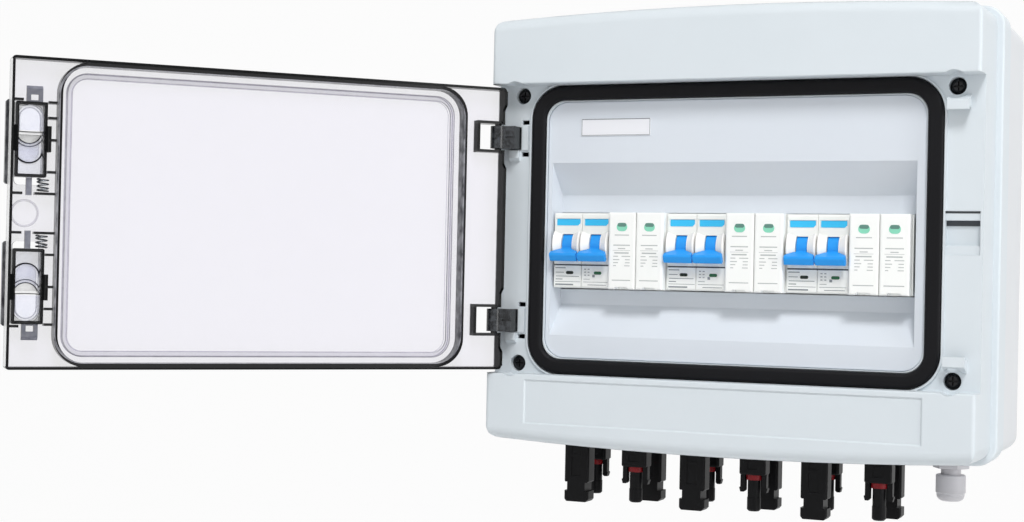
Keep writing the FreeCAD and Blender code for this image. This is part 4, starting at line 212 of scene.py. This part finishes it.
def doorPlace(tree, coords):
    # millimetres across the shut door, and up from its middle row with both halves alike
    hingeX, hingeY = doorPose["hinge"]
    across = (math.cos(doorAngle), -math.sin(doorAngle), 0)
    start = hingeX * across[0] + hingeY * across[1]
    reach = addNode(tree, "ShaderNodeVectorMath", {
        "operation": "DOT_PRODUCT", 1: [c / mm for c in across]}, {0: coords.outputs["Object"]})
    x = addNode(tree, "ShaderNodeMath", {"operation": "ADD", 1: hingeX - start},
                {0: reach.outputs["Value"]})
    rows = addNode(tree, "ShaderNodeSeparateXYZ", {}, {"Vector": coords.outputs["Object"]})
    up = addNode(tree, "ShaderNodeMath", {"operation": "MULTIPLY", 1: 1 / mm},
                 {0: rows.outputs["Z"]})
    z = addNode(tree, "ShaderNodeMath", {"operation": "ABSOLUTE"}, {0: up.outputs["Value"]})
    return {"x": x.outputs["Value"], "z": z.outputs["Value"]}


def softBand(tree, distance, place, full, none, amount=1.0):
    # the whole amount where a distance is within full of a place, nothing beyond none
    off = addNode(tree, "ShaderNodeMath", {"operation": "SUBTRACT", 1: place}, {0: distance})
    near = addNode(tree, "ShaderNodeMath", {"operation": "ABSOLUTE"}, {0: off.outputs["Value"]})
    band = addNode(tree, "ShaderNodeMapRange", {
        "From Min": none, "From Max": full, "To Max": amount}, {"Value": near.outputs["Value"]})
    return band.outputs["Result"]


# how far the edge of a drawn line fades to both sides
lineFade = {"inside": 0.1, "outside": 0.15}


def scoopShadeArcs(tree, places, look):
    # painted shade lines for the stepped arcs in a latch below its thumb scoop, and the painted
    # light of the bright crescent above the first
    x = addNode(tree, "ShaderNodeMath", {"operation": "SUBTRACT", 1: look["arcX"]},
                {0: places["x"]})
    lines, crescent = None, None
    for centre, radius, width in look["arcs"]:
        z = addNode(tree, "ShaderNodeMath", {"operation": "SUBTRACT", 1: centre},
                    {0: places["z"]})
        point = addNode(tree, "ShaderNodeCombineXYZ", {}, {
            "X": x.outputs["Value"], "Y": z.outputs["Value"]})
        away = addNode(tree, "ShaderNodeVectorMath", {"operation": "LENGTH"},
                       {0: point.outputs["Vector"]})
        line = softBand(tree, away.outputs["Value"], radius, width / 2 - lineFade["inside"],
                        width / 2 + lineFade["outside"])
        lower = addNode(tree, "ShaderNodeMath", {"operation": "LESS_THAN", 1: 0.0},
                        {0: z.outputs["Value"]})
        half = addNode(tree, "ShaderNodeMath", {"operation": "MULTIPLY"},
                       {0: line, 1: lower.outputs["Value"]})
        if lines is None:
            inside = addNode(tree, "ShaderNodeMath", {"operation": "LESS_THAN", 1: radius},
                             {0: away.outputs["Value"]})
            crescent = addNode(tree, "ShaderNodeMath", {"operation": "MULTIPLY"},
                               {0: inside.outputs["Value"], 1: lower.outputs["Value"]})
            lines = half
        else:
            lines = addNode(tree, "ShaderNodeMath", {"operation": "MAXIMUM"},
                            {0: lines.outputs["Value"], 1: half.outputs["Value"]})
    return lines.outputs["Value"], crescent.outputs["Value"]


def ringShadeLines(tree, places, ring):
    # painted shade lines beside a rounded rectangle on the door, by the distance from it
    middle, halfX, halfZ, corner = ring["shape"]
    shifted = addNode(tree, "ShaderNodeMath", {"operation": "SUBTRACT", 1: middle},
                      {0: places["x"]})
    side = addNode(tree, "ShaderNodeMath", {"operation": "ABSOLUTE"},
                   {0: shifted.outputs["Value"]})
    overX = addNode(tree, "ShaderNodeMath", {"operation": "SUBTRACT", 1: halfX - corner},
                    {0: side.outputs["Value"]})
    overZ = addNode(tree, "ShaderNodeMath", {"operation": "SUBTRACT", 1: halfZ - corner},
                    {0: places["z"]})
    most = addNode(tree, "ShaderNodeMath", {"operation": "MAXIMUM"},
                   {0: overX.outputs["Value"], 1: overZ.outputs["Value"]})
    inner = addNode(tree, "ShaderNodeMath", {"operation": "MINIMUM", 1: 0.0},
                    {0: most.outputs["Value"]})
    outX = addNode(tree, "ShaderNodeMath", {"operation": "MAXIMUM", 1: 0.0},
                   {0: overX.outputs["Value"]})
    outZ = addNode(tree, "ShaderNodeMath", {"operation": "MAXIMUM", 1: 0.0},
                   {0: overZ.outputs["Value"]})
    point = addNode(tree, "ShaderNodeCombineXYZ", {}, {
        "X": outX.outputs["Value"], "Y": outZ.outputs["Value"]})
    outer = addNode(tree, "ShaderNodeVectorMath", {"operation": "LENGTH"},
                    {0: point.outputs["Vector"]})
    away = addNode(tree, "ShaderNodeMath", {"operation": "ADD"},
                   {0: outer.outputs["Value"], 1: inner.outputs["Value"]})
    lines = None
    for offset, width, amount in ring["lines"]:
        line = softBand(tree, away.outputs["Value"], corner + offset,
                        width / 2 - lineFade["inside"], width / 2 + lineFade["outside"], amount)
        lines = line if lines is None else addNode(
            tree, "ShaderNodeMath", {"operation": "MAXIMUM"}, {0: lines, 1: line}).outputs["Value"]
    return lines


def paintedEdgeShade(tree, coords, places, look):
    # painted shade: how smoky a point is painted, by the way it faces and by zones and rings, and
    # how black by height
    facing = addNode(tree, "ShaderNodeVectorMath", {"operation": "DOT_PRODUCT", 1: look["axis"]},
                     {0: coords.outputs["Normal"]})
    flat = addNode(tree, "ShaderNodeMath", {"operation": "ABSOLUTE"}, {0: facing.outputs["Value"]})
    flank = addNode(tree, "ShaderNodeMapRange", {
        "interpolation_type": "SMOOTHSTEP", "From Min": look["edgeEnd"],
        "From Max": look["edgeStart"]}, {"Value": flat.outputs["Value"]})
    marks = [addNode(tree, "ShaderNodeMapRange", {
        "From Min": start, "From Max": end, "To Max": amount}, {"Value": places[way]}
    ).outputs["Result"] for way, start, end, amount in look.get("zones", [])]
    marks += [ringShadeLines(tree, places, ring) for ring in look.get("rings", [])]
    height = addNode(tree, "ShaderNodeVectorMath", {"operation": "DOT_PRODUCT", 1: look["axis"]},
                     {0: coords.outputs["Object"]})
    ridge = addNode(tree, "ShaderNodeMapRange", {
        "From Min": look["riseStart"] * mm, "From Max": look["riseEnd"] * mm},
        {"Value": height.outputs["Value"]}).outputs["Result"]
    if "flankRing" in look:
        # painted shade: one side of the seal rib's top is painted the grey of its flank
        grey = addNode(tree, "ShaderNodeMath", {"operation": "MULTIPLY"}, {
            0: ridge, 1: ringShadeLines(tree, places, look["flankRing"])}).outputs["Value"]
        marks.append(grey)
        ridge = addNode(tree, "ShaderNodeMath", {"operation": "SUBTRACT"},
                        {0: ridge, 1: grey}).outputs["Value"]
    edgeShadeAmount = flank.outputs["Result"]
    for mark in marks:
        edgeShadeAmount = addNode(tree, "ShaderNodeMath", {"operation": "MAXIMUM"},
                        {0: edgeShadeAmount, 1: mark}).outputs["Value"]
    return edgeShadeAmount, ridge


def paintedEndReflection(tree, places, end, colour, dark):
    # painted reflection: the door's free end face is painted white for the bright room that it
    # mirrors, and made clearer for the little light that it lets through
    pale = softBand(tree, places["x"], end["x"], end["full"], end["none"])
    colour = addNode(tree, "ShaderNodeMix", {"data_type": "RGBA", 7: linear(end["colour"])},
                     {0: pale, 6: colour.outputs[2]})
    solid = addNode(tree, "ShaderNodeMath", {"operation": "MAXIMUM"},
                    {0: dark.outputs["Value"], 1: pale})
    clearer = addNode(tree, "ShaderNodeMath", {"operation": "MULTIPLY", 1: 1 - end["cover"]},
                      {0: pale})
    dark = addNode(tree, "ShaderNodeMath", {"operation": "SUBTRACT"},
                   {0: solid.outputs["Value"], 1: clearer.outputs["Value"]})
    return colour, dark


# moulded polycarbonate: radius of its edges in millimetres, and where the streaks' contrast lies
clearSkin = {"ior": 1.58, "edge": 0.2, "contrast": (0.35, 0.65)}


def clearPlastic(name, look):
    # Clear polycarbonate: looked at square on, the sheet is nearly invisible with a cool tint.
    # Flanks carry light away inside the plastic and are painted smoky, and the tops of ribs and
    # rims, where it can't get out, are painted black, as painted shade. Zones, rings and arcs of
    # painted shade go by the place on the door.
    material, tree = newMaterial(name)
    coords = addNode(tree, "ShaderNodeTexCoord")
    places = doorPlace(tree, coords) if look["onDoor"] else {}
    edgeShadeAmount, ridge = paintedEdgeShade(tree, coords, places, look)
    streaks = addNode(tree, "ShaderNodeTexNoise", {
        "Scale": 1 / (look["streak"] * mm), "Detail": 3.0}, {"Vector": coords.outputs["Object"]})
    low, high = clearSkin["contrast"]
    contrast = addNode(tree, "ShaderNodeMapRange", {"From Min": low, "From Max": high},
                       {"Value": streaks.outputs["Fac"]})
    edgeShadeColour = addNode(tree, "ShaderNodeMix", {
        "data_type": "RGBA", 6: linear(look["edgeDark"]), 7: linear(look["edgeLight"])},
        {0: contrast.outputs["Result"]})
    sheet = addNode(tree, "ShaderNodeMix", {
        "data_type": "RGBA", 6: linear(look["sheet"]), 7: linear(look["sheetLight"])},
        {0: contrast.outputs["Result"]})
    if "arcs" in look:
        lines, crescent = scoopShadeArcs(tree, places, look)
        sheet = addNode(tree, "ShaderNodeMix", {
            "data_type": "RGBA", 7: linear(look["crescent"])}, {0: crescent, 6: sheet.outputs[2]})
        ridge = addNode(tree, "ShaderNodeMath", {"operation": "MAXIMUM"},
                        {0: ridge, 1: lines}).outputs["Value"]
    body = addNode(tree, "ShaderNodeMix", {"data_type": "RGBA"},
                   {0: edgeShadeAmount, 6: sheet.outputs[2], 7: edgeShadeColour.outputs[2]})
    colour = addNode(tree, "ShaderNodeMix", {"data_type": "RGBA", 7: linear(look["ridge"])},
                     {0: ridge, 6: body.outputs[2]})
    dark = addNode(tree, "ShaderNodeMath", {"operation": "MAXIMUM"}, {0: ridge, 1: edgeShadeAmount})
    if "end" in look:
        colour, dark = paintedEndReflection(tree, places, look["end"], colour, dark)
    cover = addNode(tree, "ShaderNodeMapRange", {
        "To Min": look["sheetCover"], "To Max": look["edgeCover"]},
        {"Value": dark.outputs["Value"]})
    edge = addNode(tree, "ShaderNodeBevel", {"samples": 4, "Radius": clearSkin["edge"] * mm})
    shader = addNode(tree, "ShaderNodeBsdfPrincipled", {
        "IOR": clearSkin["ior"], "Roughness": look["roughness"],
        "Specular IOR Level": look["specular"]}, {
        "Base Color": colour.outputs[2], "Alpha": cover.outputs["Result"],
        "Normal": edge.outputs["Normal"]})
    addNode(tree, "ShaderNodeOutputMaterial", {}, {"Surface": shader.outputs["BSDF"]})
    return material


clearFinishes = {
    # edge: how square on a flank starts and ends; rise: from where to where a top turns black;
    # zones: place, where the smoke starts, where it is full, how much; arcs: middle, radius,
    # width; rings: middle, half width, half height and corner, with lines of offset, width, amount

    # clear moulded door: a cool tint, with painted shade for its black ridges and grey flanks, and
    # a painted reflection on its pale free end
    "doorPolycarbonate": {
        "onDoor": True, "axis": doorInward, "edgeStart": 0.3, "edgeEnd": 0.9,
        "riseStart": doorHeight(136.6), "riseEnd": doorHeight(135.4),
        "sheet": "#bcb6d6", "sheetLight": "#c2bcdb", "edgeDark": "#46474b", "edgeLight": "#8e8f93",
        "ridge": "#060708", "streak": 7, "sheetCover": 0.12, "edgeCover": 0.97,
        "zones": [("x", 144.4, 145.0, 1.0)],
        "rings": [{"shape": (0, 112.8, 76.6, 10), "lines": [(1.4, 0.7, 0.6), (-1.3, 0.5, 0.45)]},
                  {"shape": (135.6, 7.4, 7.4, 7.4), "lines": [(0, 0.3, 0.35), (-0.7, 0.3, 0.3)]}],
        "flankRing": {"shape": (0.75, 118.8, 81.0, 16), "lines": [(0, 0.9, 1.0)]},
        "end": {"x": 145.0, "full": 0.06, "none": 0.12, "cover": 0.7, "colour": "#ffffff"},
        "roughness": 0.14, "specular": 0.05},
    # the same plastic, thick and small, in the latches: painted darker, with painted shade lines
    # and a crescent of painted light in the scoop
    "latchPolycarbonate": {
        "onDoor": True, "axis": doorInward, "edgeStart": 0.35, "edgeEnd": 0.9,
        "riseStart": doorHeight(129.7), "riseEnd": doorHeight(129.3),
        "sheet": "#d3d6ee", "sheetLight": "#e2e4f6", "edgeDark": "#1a1b1e", "edgeLight": "#55575b",
        "ridge": "#0a0b0d", "crescent": "#ffffff", "streak": 4, "sheetCover": 0.28,
        "edgeCover": 0.97, "zones": [("z", 60.1, 60.4, 0.72), ("z", 19.4, 18.9, 0.75)],
        "arcX": 134.5,
        "arcs": [(44.6, 6.7, 0.5), (44.6, 8.4, 0.4), (34.9, 7.5, 0.8), (143.8, 100, 0.5)],
        "roughness": 0.16, "specular": 0.1},
    # smoked in the hinge clips, which have no ridge: their rise starts beyond them
    "clipPolycarbonate": {
        "onDoor": False, "axis": (0, -1, 0), "edgeStart": 0.3, "edgeEnd": 0.97,
        "riseStart": 300, "riseEnd": 400,
        "sheet": "#17191c", "sheetLight": "#424549", "edgeDark": "#08090a", "edgeLight": "#1c1e21",
        "ridge": "#08090a", "streak": 2.6, "sheetCover": 0.93, "edgeCover": 0.97,
        "roughness": 0.16, "specular": 0.3},
}

made = {name: opaqueFinish(name, look) for name, look in finishes.items()}
made.update({name: clearPlastic(name, look) for name, look in clearFinishes.items()})
print("materials made:", len(made))

finishOf = {
    "base_box": "rearShellAbs", "front_frame": "shellAbs", "frame_seal": "sealFoam",
    "door_seal": "sealFoam", "inner_mask": "guardAbs", "label_plate": "labelPaper",
    "din_rail": "platedSteel", "cover_screws": "lacqueredSteel", "rail_screws": "platedSteel",
    "terminal_screws": "platedSteel", "door": "doorPolycarbonate",
    "latch_upper": "latchPolycarbonate", "latch_lower": "latchPolycarbonate",
    "latch_spring_upper": "springSteel", "latch_spring_lower": "springSteel",
    "hinge_clip_upper": "clipPolycarbonate", "hinge_clip_lower": "clipPolycarbonate",
    "connector_seals": "sealSilicone", "connector_nuts": "connectorPolyamide",
    "gland_body": "glandPolyamide", "gland_cap": "glandPolyamide", "gland_seal": "insertRubber",
    "gland_locknut": "glandPolyamide", "earth_bar": "drawnBrass"}
families = {  # numbered pieces, by the name before the number
    "breaker_body": "devicePolyamide", "breaker_handle": "togglePolyamide",
    "surge_base": "devicePolyamide", "surge_cartridge": "cartridgePbt",
    "rail_clip": "catchPolyamide", "pv_socket": "connectorPolyamide",
    "pv_plug": "connectorPolyamide"}

for name, item in nodes.items():
    finish = finishOf.get(name) or families[name.rsplit("_", 1)[0]]
    for slot in item.material_slots:
        slot.link = "OBJECT"
        slot.material = made[finish]
print("CAD nodes finished")


# Small pieces on the devices, the label strip and the lock recess

row = {"x": -1.3, "z": -12.25, "module": 18, "count": 6}
device = {"noseDepth": 122, "cartridgeDepth": 127.6, "cartridgeSide": 8.6}
ink = {"sunk": 0.05, "thick": 0.1}


def deviceX(index):
    # breakers and surge bases take turns, each two modules wide
    return row["x"] + (2 * index + 1 - row["count"]) * row["module"]


def addPiece(name, shape, body, finish):
    # a finished mesh as a piece that rides on a body
    mesh = bpy.data.meshes.new(name)
    shape.to_mesh(mesh)
    shape.free()
    mesh.materials.append(made[finish])
    piece = bpy.data.objects.new(name, mesh)
    scene.collection.objects.link(piece)
    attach(piece, body)
    return piece


def newVerts(result):
    return [v for v in result["geom"] if isinstance(v, bmesh.types.BMVert)]


def plates(name, body, finish, place, trim):
    # thin plates in one piece, sunk into a face that looks to the front; each part is right of
    # the place, up from it, width and height
    x, y, z = place
    shape = bmesh.new()
    for right, up, width, height in trim["parts"]:
        corners = bmesh.ops.create_grid(shape, x_segments=1, y_segments=1, size=0.5)["verts"]
        bmesh.ops.scale(shape, vec=(width * mm, height * mm, 1), verts=corners)
        bmesh.ops.rotate(shape, matrix=Matrix.Rotation(math.radians(90), 3, "X"), verts=corners)
        bmesh.ops.translate(
            shape, vec=((x + right) * mm, (y + trim["sunk"]) * mm, (z + up) * mm), verts=corners)
        if "corner" in trim:
            bmesh.ops.bevel(
                shape, geom=corners, offset=trim["corner"] * mm, segments=5, profile=0.5,
                affect="VERTICES", material=-1)
    grown = bmesh.ops.extrude_face_region(shape, geom=shape.faces[:])
    bmesh.ops.translate(shape, vec=(0, -trim["thick"] * mm, 0), verts=newVerts(grown))
    bmesh.ops.recalc_face_normals(shape, faces=shape.faces)
    return addPiece(name, shape, body, finish)


shoulderShape = {
    "pivotDepth": 115.5, "pivotUp": 3.0, "start": -62, "sweep": 106, "steps": 20,
    # across from the toggle's middle, and radius
    "outline": [(3.6, 6.0), (3.6, 9.35), (4.1, 9.75), (6.3, 11.2), (7.3, 12.0), (7.9, 12.3),
                (8.4, 11.9), (8.7, 11.0), (8.7, 6.0)]}


def toggleShoulder(name, x, side):
    # half of the round shoulder beside a toggle, turned about the toggle's own axis
    look = shoulderShape
    centre = Vector((0, -look["pivotDepth"] * mm, (row["z"] + look["pivotUp"]) * mm))
    turn = math.radians(look["start"])
    shape = bmesh.new()
    points = [shape.verts.new((
        (x + side * across) * mm, centre.y - radius * mm * math.cos(turn),
        centre.z + radius * mm * math.sin(turn))) for across, radius in look["outline"]]
    loop = [shape.edges.new(pair) for pair in zip(points, points[1:] + points[:1])]
    bmesh.ops.spin(
        shape, geom=points + loop, cent=centre, axis=(1, 0, 0), dvec=(0, 0, 0),
        angle=-math.radians(look["sweep"]), steps=look["steps"])
    bmesh.ops.holes_fill(shape, edges=[e for e in shape.edges if e.is_boundary])
    bmesh.ops.recalc_face_normals(shape, faces=shape.faces)
    return addPiece(name, shape, "enclosure", "shoulderPolyamideLit")


breakerTrim = {
    # the step plate is painted shadow in the groove under the toggles
    "step": {"parts": [(0, -8.9, 34.8, 1.0)], "sunk": 0.5, "thick": 0.45},
    "tag": {"parts": [(0, 17, 15.0, 3.9)], "sunk": 0.6, "thick": 0.2, "corner": 0.5},
    "window": {"parts": [(1.4, -13.4, 4.8, 1.9)], "sunk": 0.05, "thick": 0.15, "corner": 0.9}}
poles = [  # of each pole: middle in modules, window, and the plain ink bars of its face
    (-0.5, "windowDark", {**ink, "parts": [
        (-4.6, -10.6, 6.6, 0.55), (-5.0, -13.3, 5.4, 0.4), (0, -15.6, 15.0, 0.4),
        (-5.4, -17.4, 4.4, 0.5), (0.2, -18.9, 16.2, 0.28), (-2.0, -20.6, 11.6, 0.85)]}),
    (0.5, "windowGreen", {**ink, "parts": [
        (-6.6, -11.2, 1.2, 0.5), (-4.4, -11.2, 1.2, 0.5), (-6.6, -13.0, 1.2, 0.5),
        (-4.4, -13.0, 1.2, 0.5), (-6.6, -14.8, 1.2, 0.5), (-4.4, -14.8, 1.2, 0.5),
        (-1.2, -15.2, 1.6, 1.6), (-5.6, -17.2, 4.0, 0.3), (0, -18.9, 15.6, 0.28),
        (1.0, -20.6, 11.8, 0.4)]})]
for number, index in enumerate(range(0, row["count"], 2), start=1):
    middle = deviceX(index)
    # painted shadow: a dark strip in the groove under each breaker's toggles
    plates("slotShade_%d" % number, "enclosure", "stepPaintedShadow",
           (middle, -device["noseDepth"], row["z"]), breakerTrim["step"])
    for side, (pole, window, bars) in enumerate(poles, start=1):
        x = middle + pole * row["module"]
        nose = (x, -device["noseDepth"], row["z"])
        label = "%d_%d" % (number, side)
        plates("tag_" + label, "enclosure", "tagPaper", nose, breakerTrim["tag"])
        plates("pill_" + label, "enclosure", window, nose, breakerTrim["window"])
        plates("marks_" + label, "enclosure", "greyInk", nose, bars)
        toggleShoulder("shoulder_%s_left" % label, x, -1)
        toggleShoulder("shoulder_%s_right" % label, x, 1)

cartridgeTrim = {
    "status": {"parts": [(0, 14.2, 6.6, 5.0)], "sunk": 0.05, "thick": 0.15, "corner": 2.4},
    # the next plate is painted shadow over the upper half of the status window
    "statusShadow": {"parts": [(0, 15.5, 5.4, 2.2)], "sunk": -0.08, "thick": 0.12, "corner": 1.0},
    "marks_cartridge": {**ink, "parts": [  # plain ink bars
        (0, 9.4, 9.0, 0.5), (0, 3.4, 10.4, 0.55), (0, 1.4, 4.6, 0.5), (0, 0.3, 11.0, 0.22),
        (0, -1.2, 9.0, 0.7), (-3.6, -3.2, 3.0, 0.45), (2.8, -3.2, 5.4, 0.45),
        (-3.2, -5.2, 4.0, 0.45), (3.8, -5.2, 3.0, 0.45), (-3.6, -7.0, 3.0, 0.45),
        (3.8, -7.0, 3.0, 0.45), (-4.2, -8.8, 1.8, 0.45), (3.6, -8.8, 3.4, 0.45),
        (0, -17.4, 11.6, 0.5)]}}
cartridgeFinish = {"status": "statusFilm", "statusShadow": "statusPaintedShadow", "marks_cartridge": "paleInk"}
for pair, index in enumerate(range(1, row["count"], 2)):
    for side, sign in enumerate((-1, 1), start=1):
        number = 2 * pair + side
        front = (deviceX(index) + sign * device["cartridgeSide"], -device["cartridgeDepth"],
                 row["z"])
        for kind, trim in cartridgeTrim.items():
            plates("%s_%d" % (kind, number), "cartridge_%d" % number, cartridgeFinish[kind],
                   front, trim)

# thin grey lines round the bare label strip: a printed border, whose thicker top line is also
# painted shadow along the strip's upper edge
border = {"inset": 0.4, "top": 0.5, "side": 0.3}
low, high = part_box("label_plate")
left, right = low[0] / mm + border["inset"], high[0] / mm - border["inset"]
bottom, top = low[2] / mm + border["inset"], high[2] / mm - border["inset"]
plates("labelBorder", "enclosure", "greyInk", (0, low[1] / mm, 0), {**ink, "parts": [
    ((left + right) / 2, top, right - left, border["top"]),
    ((left + right) / 2, bottom, right - left, border["side"]),
    (left, (bottom + top) / 2, border["side"], top - bottom),
    (right, (bottom + top) / 2, border["side"], top - bottom)]})
print("device trim made")

# painted shadows in the lock recess: along the shallow one's upper edge, and under the bar between
# the two; each is depth, up, height
lockTrim = {"x": 133.7, "width": 19.0, "sunk": 0.05, "thick": 0.15,
            "steps": {"lock_line": (125, 11.7, 1.2), "lock_band": (121.5, 5.7, 3.0)}}
for name, (depth, up, height) in lockTrim["steps"].items():
    step = {**lockTrim, "parts": [(0, up, lockTrim["width"], height)]}
    plates(name, "enclosure", "stepPaintedShadow", (lockTrim["x"], -depth, 0), step)

# latch springs: round wire with closed ends
coil = {"radius": 2.95, "wire": 0.45, "facets": 10, "perTurn": 24, "keep": 0.29,
        "parts": [(0.75, 0.95), (2.25, 2.3), (0.75, 0.95)]}  # turns and pitch, from end to end


def latchSpring(name, node):
    # a ring of wire wound round the axis of the CAD spring, which it stands for
    low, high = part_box(node)
    shape = bmesh.new()
    ring = bmesh.ops.create_circle(
        shape, radius=coil["wire"] * mm, segments=coil["facets"])["verts"]
    bmesh.ops.rotate(shape, matrix=Matrix.Rotation(math.radians(90), 3, "X"), verts=ring)
    start = Vector(((low.x + high.x) / 2, (low.y + high.y) / 2, low.z + coil["wire"] * mm))
    bmesh.ops.translate(shape, vec=start + Vector((coil["radius"] * mm, 0, 0)), verts=ring)
    last = ring + shape.edges[:]
    for turns, pitch in coil["parts"]:
        steps = round(turns * coil["perTurn"])
        rise = Vector((0, 0, turns * pitch * mm / steps))
        last = bmesh.ops.spin(
            shape, geom=last, cent=start, axis=(0, 0, 1), dvec=rise, angle=2 * math.pi * turns,
            steps=steps)["geom_last"]
    bmesh.ops.holes_fill(shape, edges=[e for e in shape.edges if e.is_boundary])
    bmesh.ops.recalc_face_normals(shape, faces=shape.faces)
    for face in shape.faces:
        face.smooth = len(face.verts) == 4  # the wire, not its cut ends
    piece = addPiece(name, shape, "door_leaf", "springSteel")
    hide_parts(node)
    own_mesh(piece)


latchSpring("springUpper", "latch_spring_upper")
latchSpring("springLower", "latch_spring_lower")
print("lock recess and springs made")


# Floor, backdrop, light and camera

studio = {"floor": -0.62, "half": 6.0, "backdrop": 3.2, "wall": 6.0, "bend": 1.2, "bendSteps": 24,
          "paper": "#fafafa", "shadowShare": 0.06}


def seenRays(tree):
    # 1 for rays that show the studio to the camera, in a mirror or through glass, 0 for its light
    path = addNode(tree, "ShaderNodeLightPath")
    direct = addNode(tree, "ShaderNodeMath", {"operation": "MAXIMUM"},
                     {0: path.outputs["Is Camera Ray"], 1: path.outputs["Is Glossy Ray"]})
    seen = addNode(tree, "ShaderNodeMath", {"operation": "MAXIMUM"},
                   {0: direct.outputs["Value"], 1: path.outputs["Is Transmission Ray"]})
    return seen.outputs["Value"]


def studioPaper(name):
    # Matte white paper sweep. It is seen as plain white with a share of its own soft shadow.
    material, tree = newMaterial(name)
    share = addNode(tree, "ShaderNodeMath", {
        "operation": "MULTIPLY", 1: 1 - studio["shadowShare"]}, {0: seenRays(tree)})
    lit = addNode(tree, "ShaderNodeBsdfDiffuse", {"Color": linear(studio["paper"])})
    white = addNode(tree, "ShaderNodeEmission", {"Color": (1, 1, 1, 1), "Strength": 1.0})
    mixed = addNode(tree, "ShaderNodeMixShader", {}, {
        0: share.outputs["Value"], 1: lit.outputs["BSDF"], 2: white.outputs["Emission"]})
    addNode(tree, "ShaderNodeOutputMaterial", {}, {"Surface": mixed.outputs["Shader"]})
    return material


def makeStudio():
    # a flat floor whose rear edge bends up into the backdrop
    shape = bmesh.new()
    bmesh.ops.create_grid(shape, x_segments=1, y_segments=1, size=studio["half"])
    bmesh.ops.translate(
        shape, vec=(0, studio["backdrop"] - studio["half"], studio["floor"]), verts=shape.verts)
    rear = [e for e in shape.edges if all(v.co.y > 0 for v in e.verts)]
    grown = bmesh.ops.extrude_edge_only(shape, edges=rear)
    bmesh.ops.translate(shape, vec=(0, 0, studio["wall"]), verts=newVerts(grown))
    bmesh.ops.bevel(
        shape, geom=rear, offset=studio["bend"], segments=studio["bendSteps"], profile=0.5,
        affect="EDGES", material=-1)
    mesh = bpy.data.meshes.new("studioSweep")
    shape.to_mesh(mesh)
    shape.free()
    mesh.shade_smooth()
    mesh.materials.append(studioPaper("studioPaper"))
    sweep = bpy.data.objects.new("studioSweep", mesh)
    scene.collection.objects.link(sweep)


makeStudio()

lamps = {
    # name: place, aim, size, power in watts
    "keyTop": ((0.7, -1.5, 1.7), (0, -0.1, 0), 0.6, 31),
    "sideRight": ((2.4, -0.7, 0.4), (0.1, -0.1, 0), 1.2, 19),
    "fillLeft": ((-1.6, -2.2, 1.2), (0, -0.1, 0), 1.6, 6),
}
for name, (spot, aim, size, power) in lamps.items():
    light = bpy.data.lights.new(name, "AREA")
    light.size = size
    light.energy = power
    lamp = bpy.data.objects.new(name, light)
    lamp.location = spot
    lamp.rotation_euler = (Vector(aim) - Vector(spot)).to_track_quat("-Z", "Y").to_euler()
    scene.collection.objects.link(lamp)

sky = {"light": 0.42, "seen": 1.0}  # strength for its light, and as it is seen
world = bpy.data.worlds.new("studioWorld")
scene.world = world
world.use_nodes = True
world.node_tree.nodes.clear()
level = addNode(world.node_tree, "ShaderNodeMapRange", {
    "To Min": sky["light"], "To Max": sky["seen"]}, {"Value": seenRays(world.node_tree)})
glow = addNode(world.node_tree, "ShaderNodeBackground", {"Color": (1, 1, 1, 1)},
               {"Strength": level.outputs["Result"]})
addNode(world.node_tree, "ShaderNodeOutputWorld", {}, {"Surface": glow.outputs["Background"]})

view = {"place": (0.29381, -1.10345, -0.02918), "turn": (90.528, -1.238, 23.691),
        "lens": 61.553, "sensor": 36}
camera = bpy.data.objects.new("camera", bpy.data.cameras.new("camera"))
camera.data.sensor_width = view["sensor"]
camera.data.lens = view["lens"]
camera.location = view["place"]
camera.rotation_euler = [math.radians(a) for a in view["turn"]]
scene.collection.objects.link(camera)
scene.camera = camera
scene.view_settings.view_transform = "Standard"
print("studio ready")
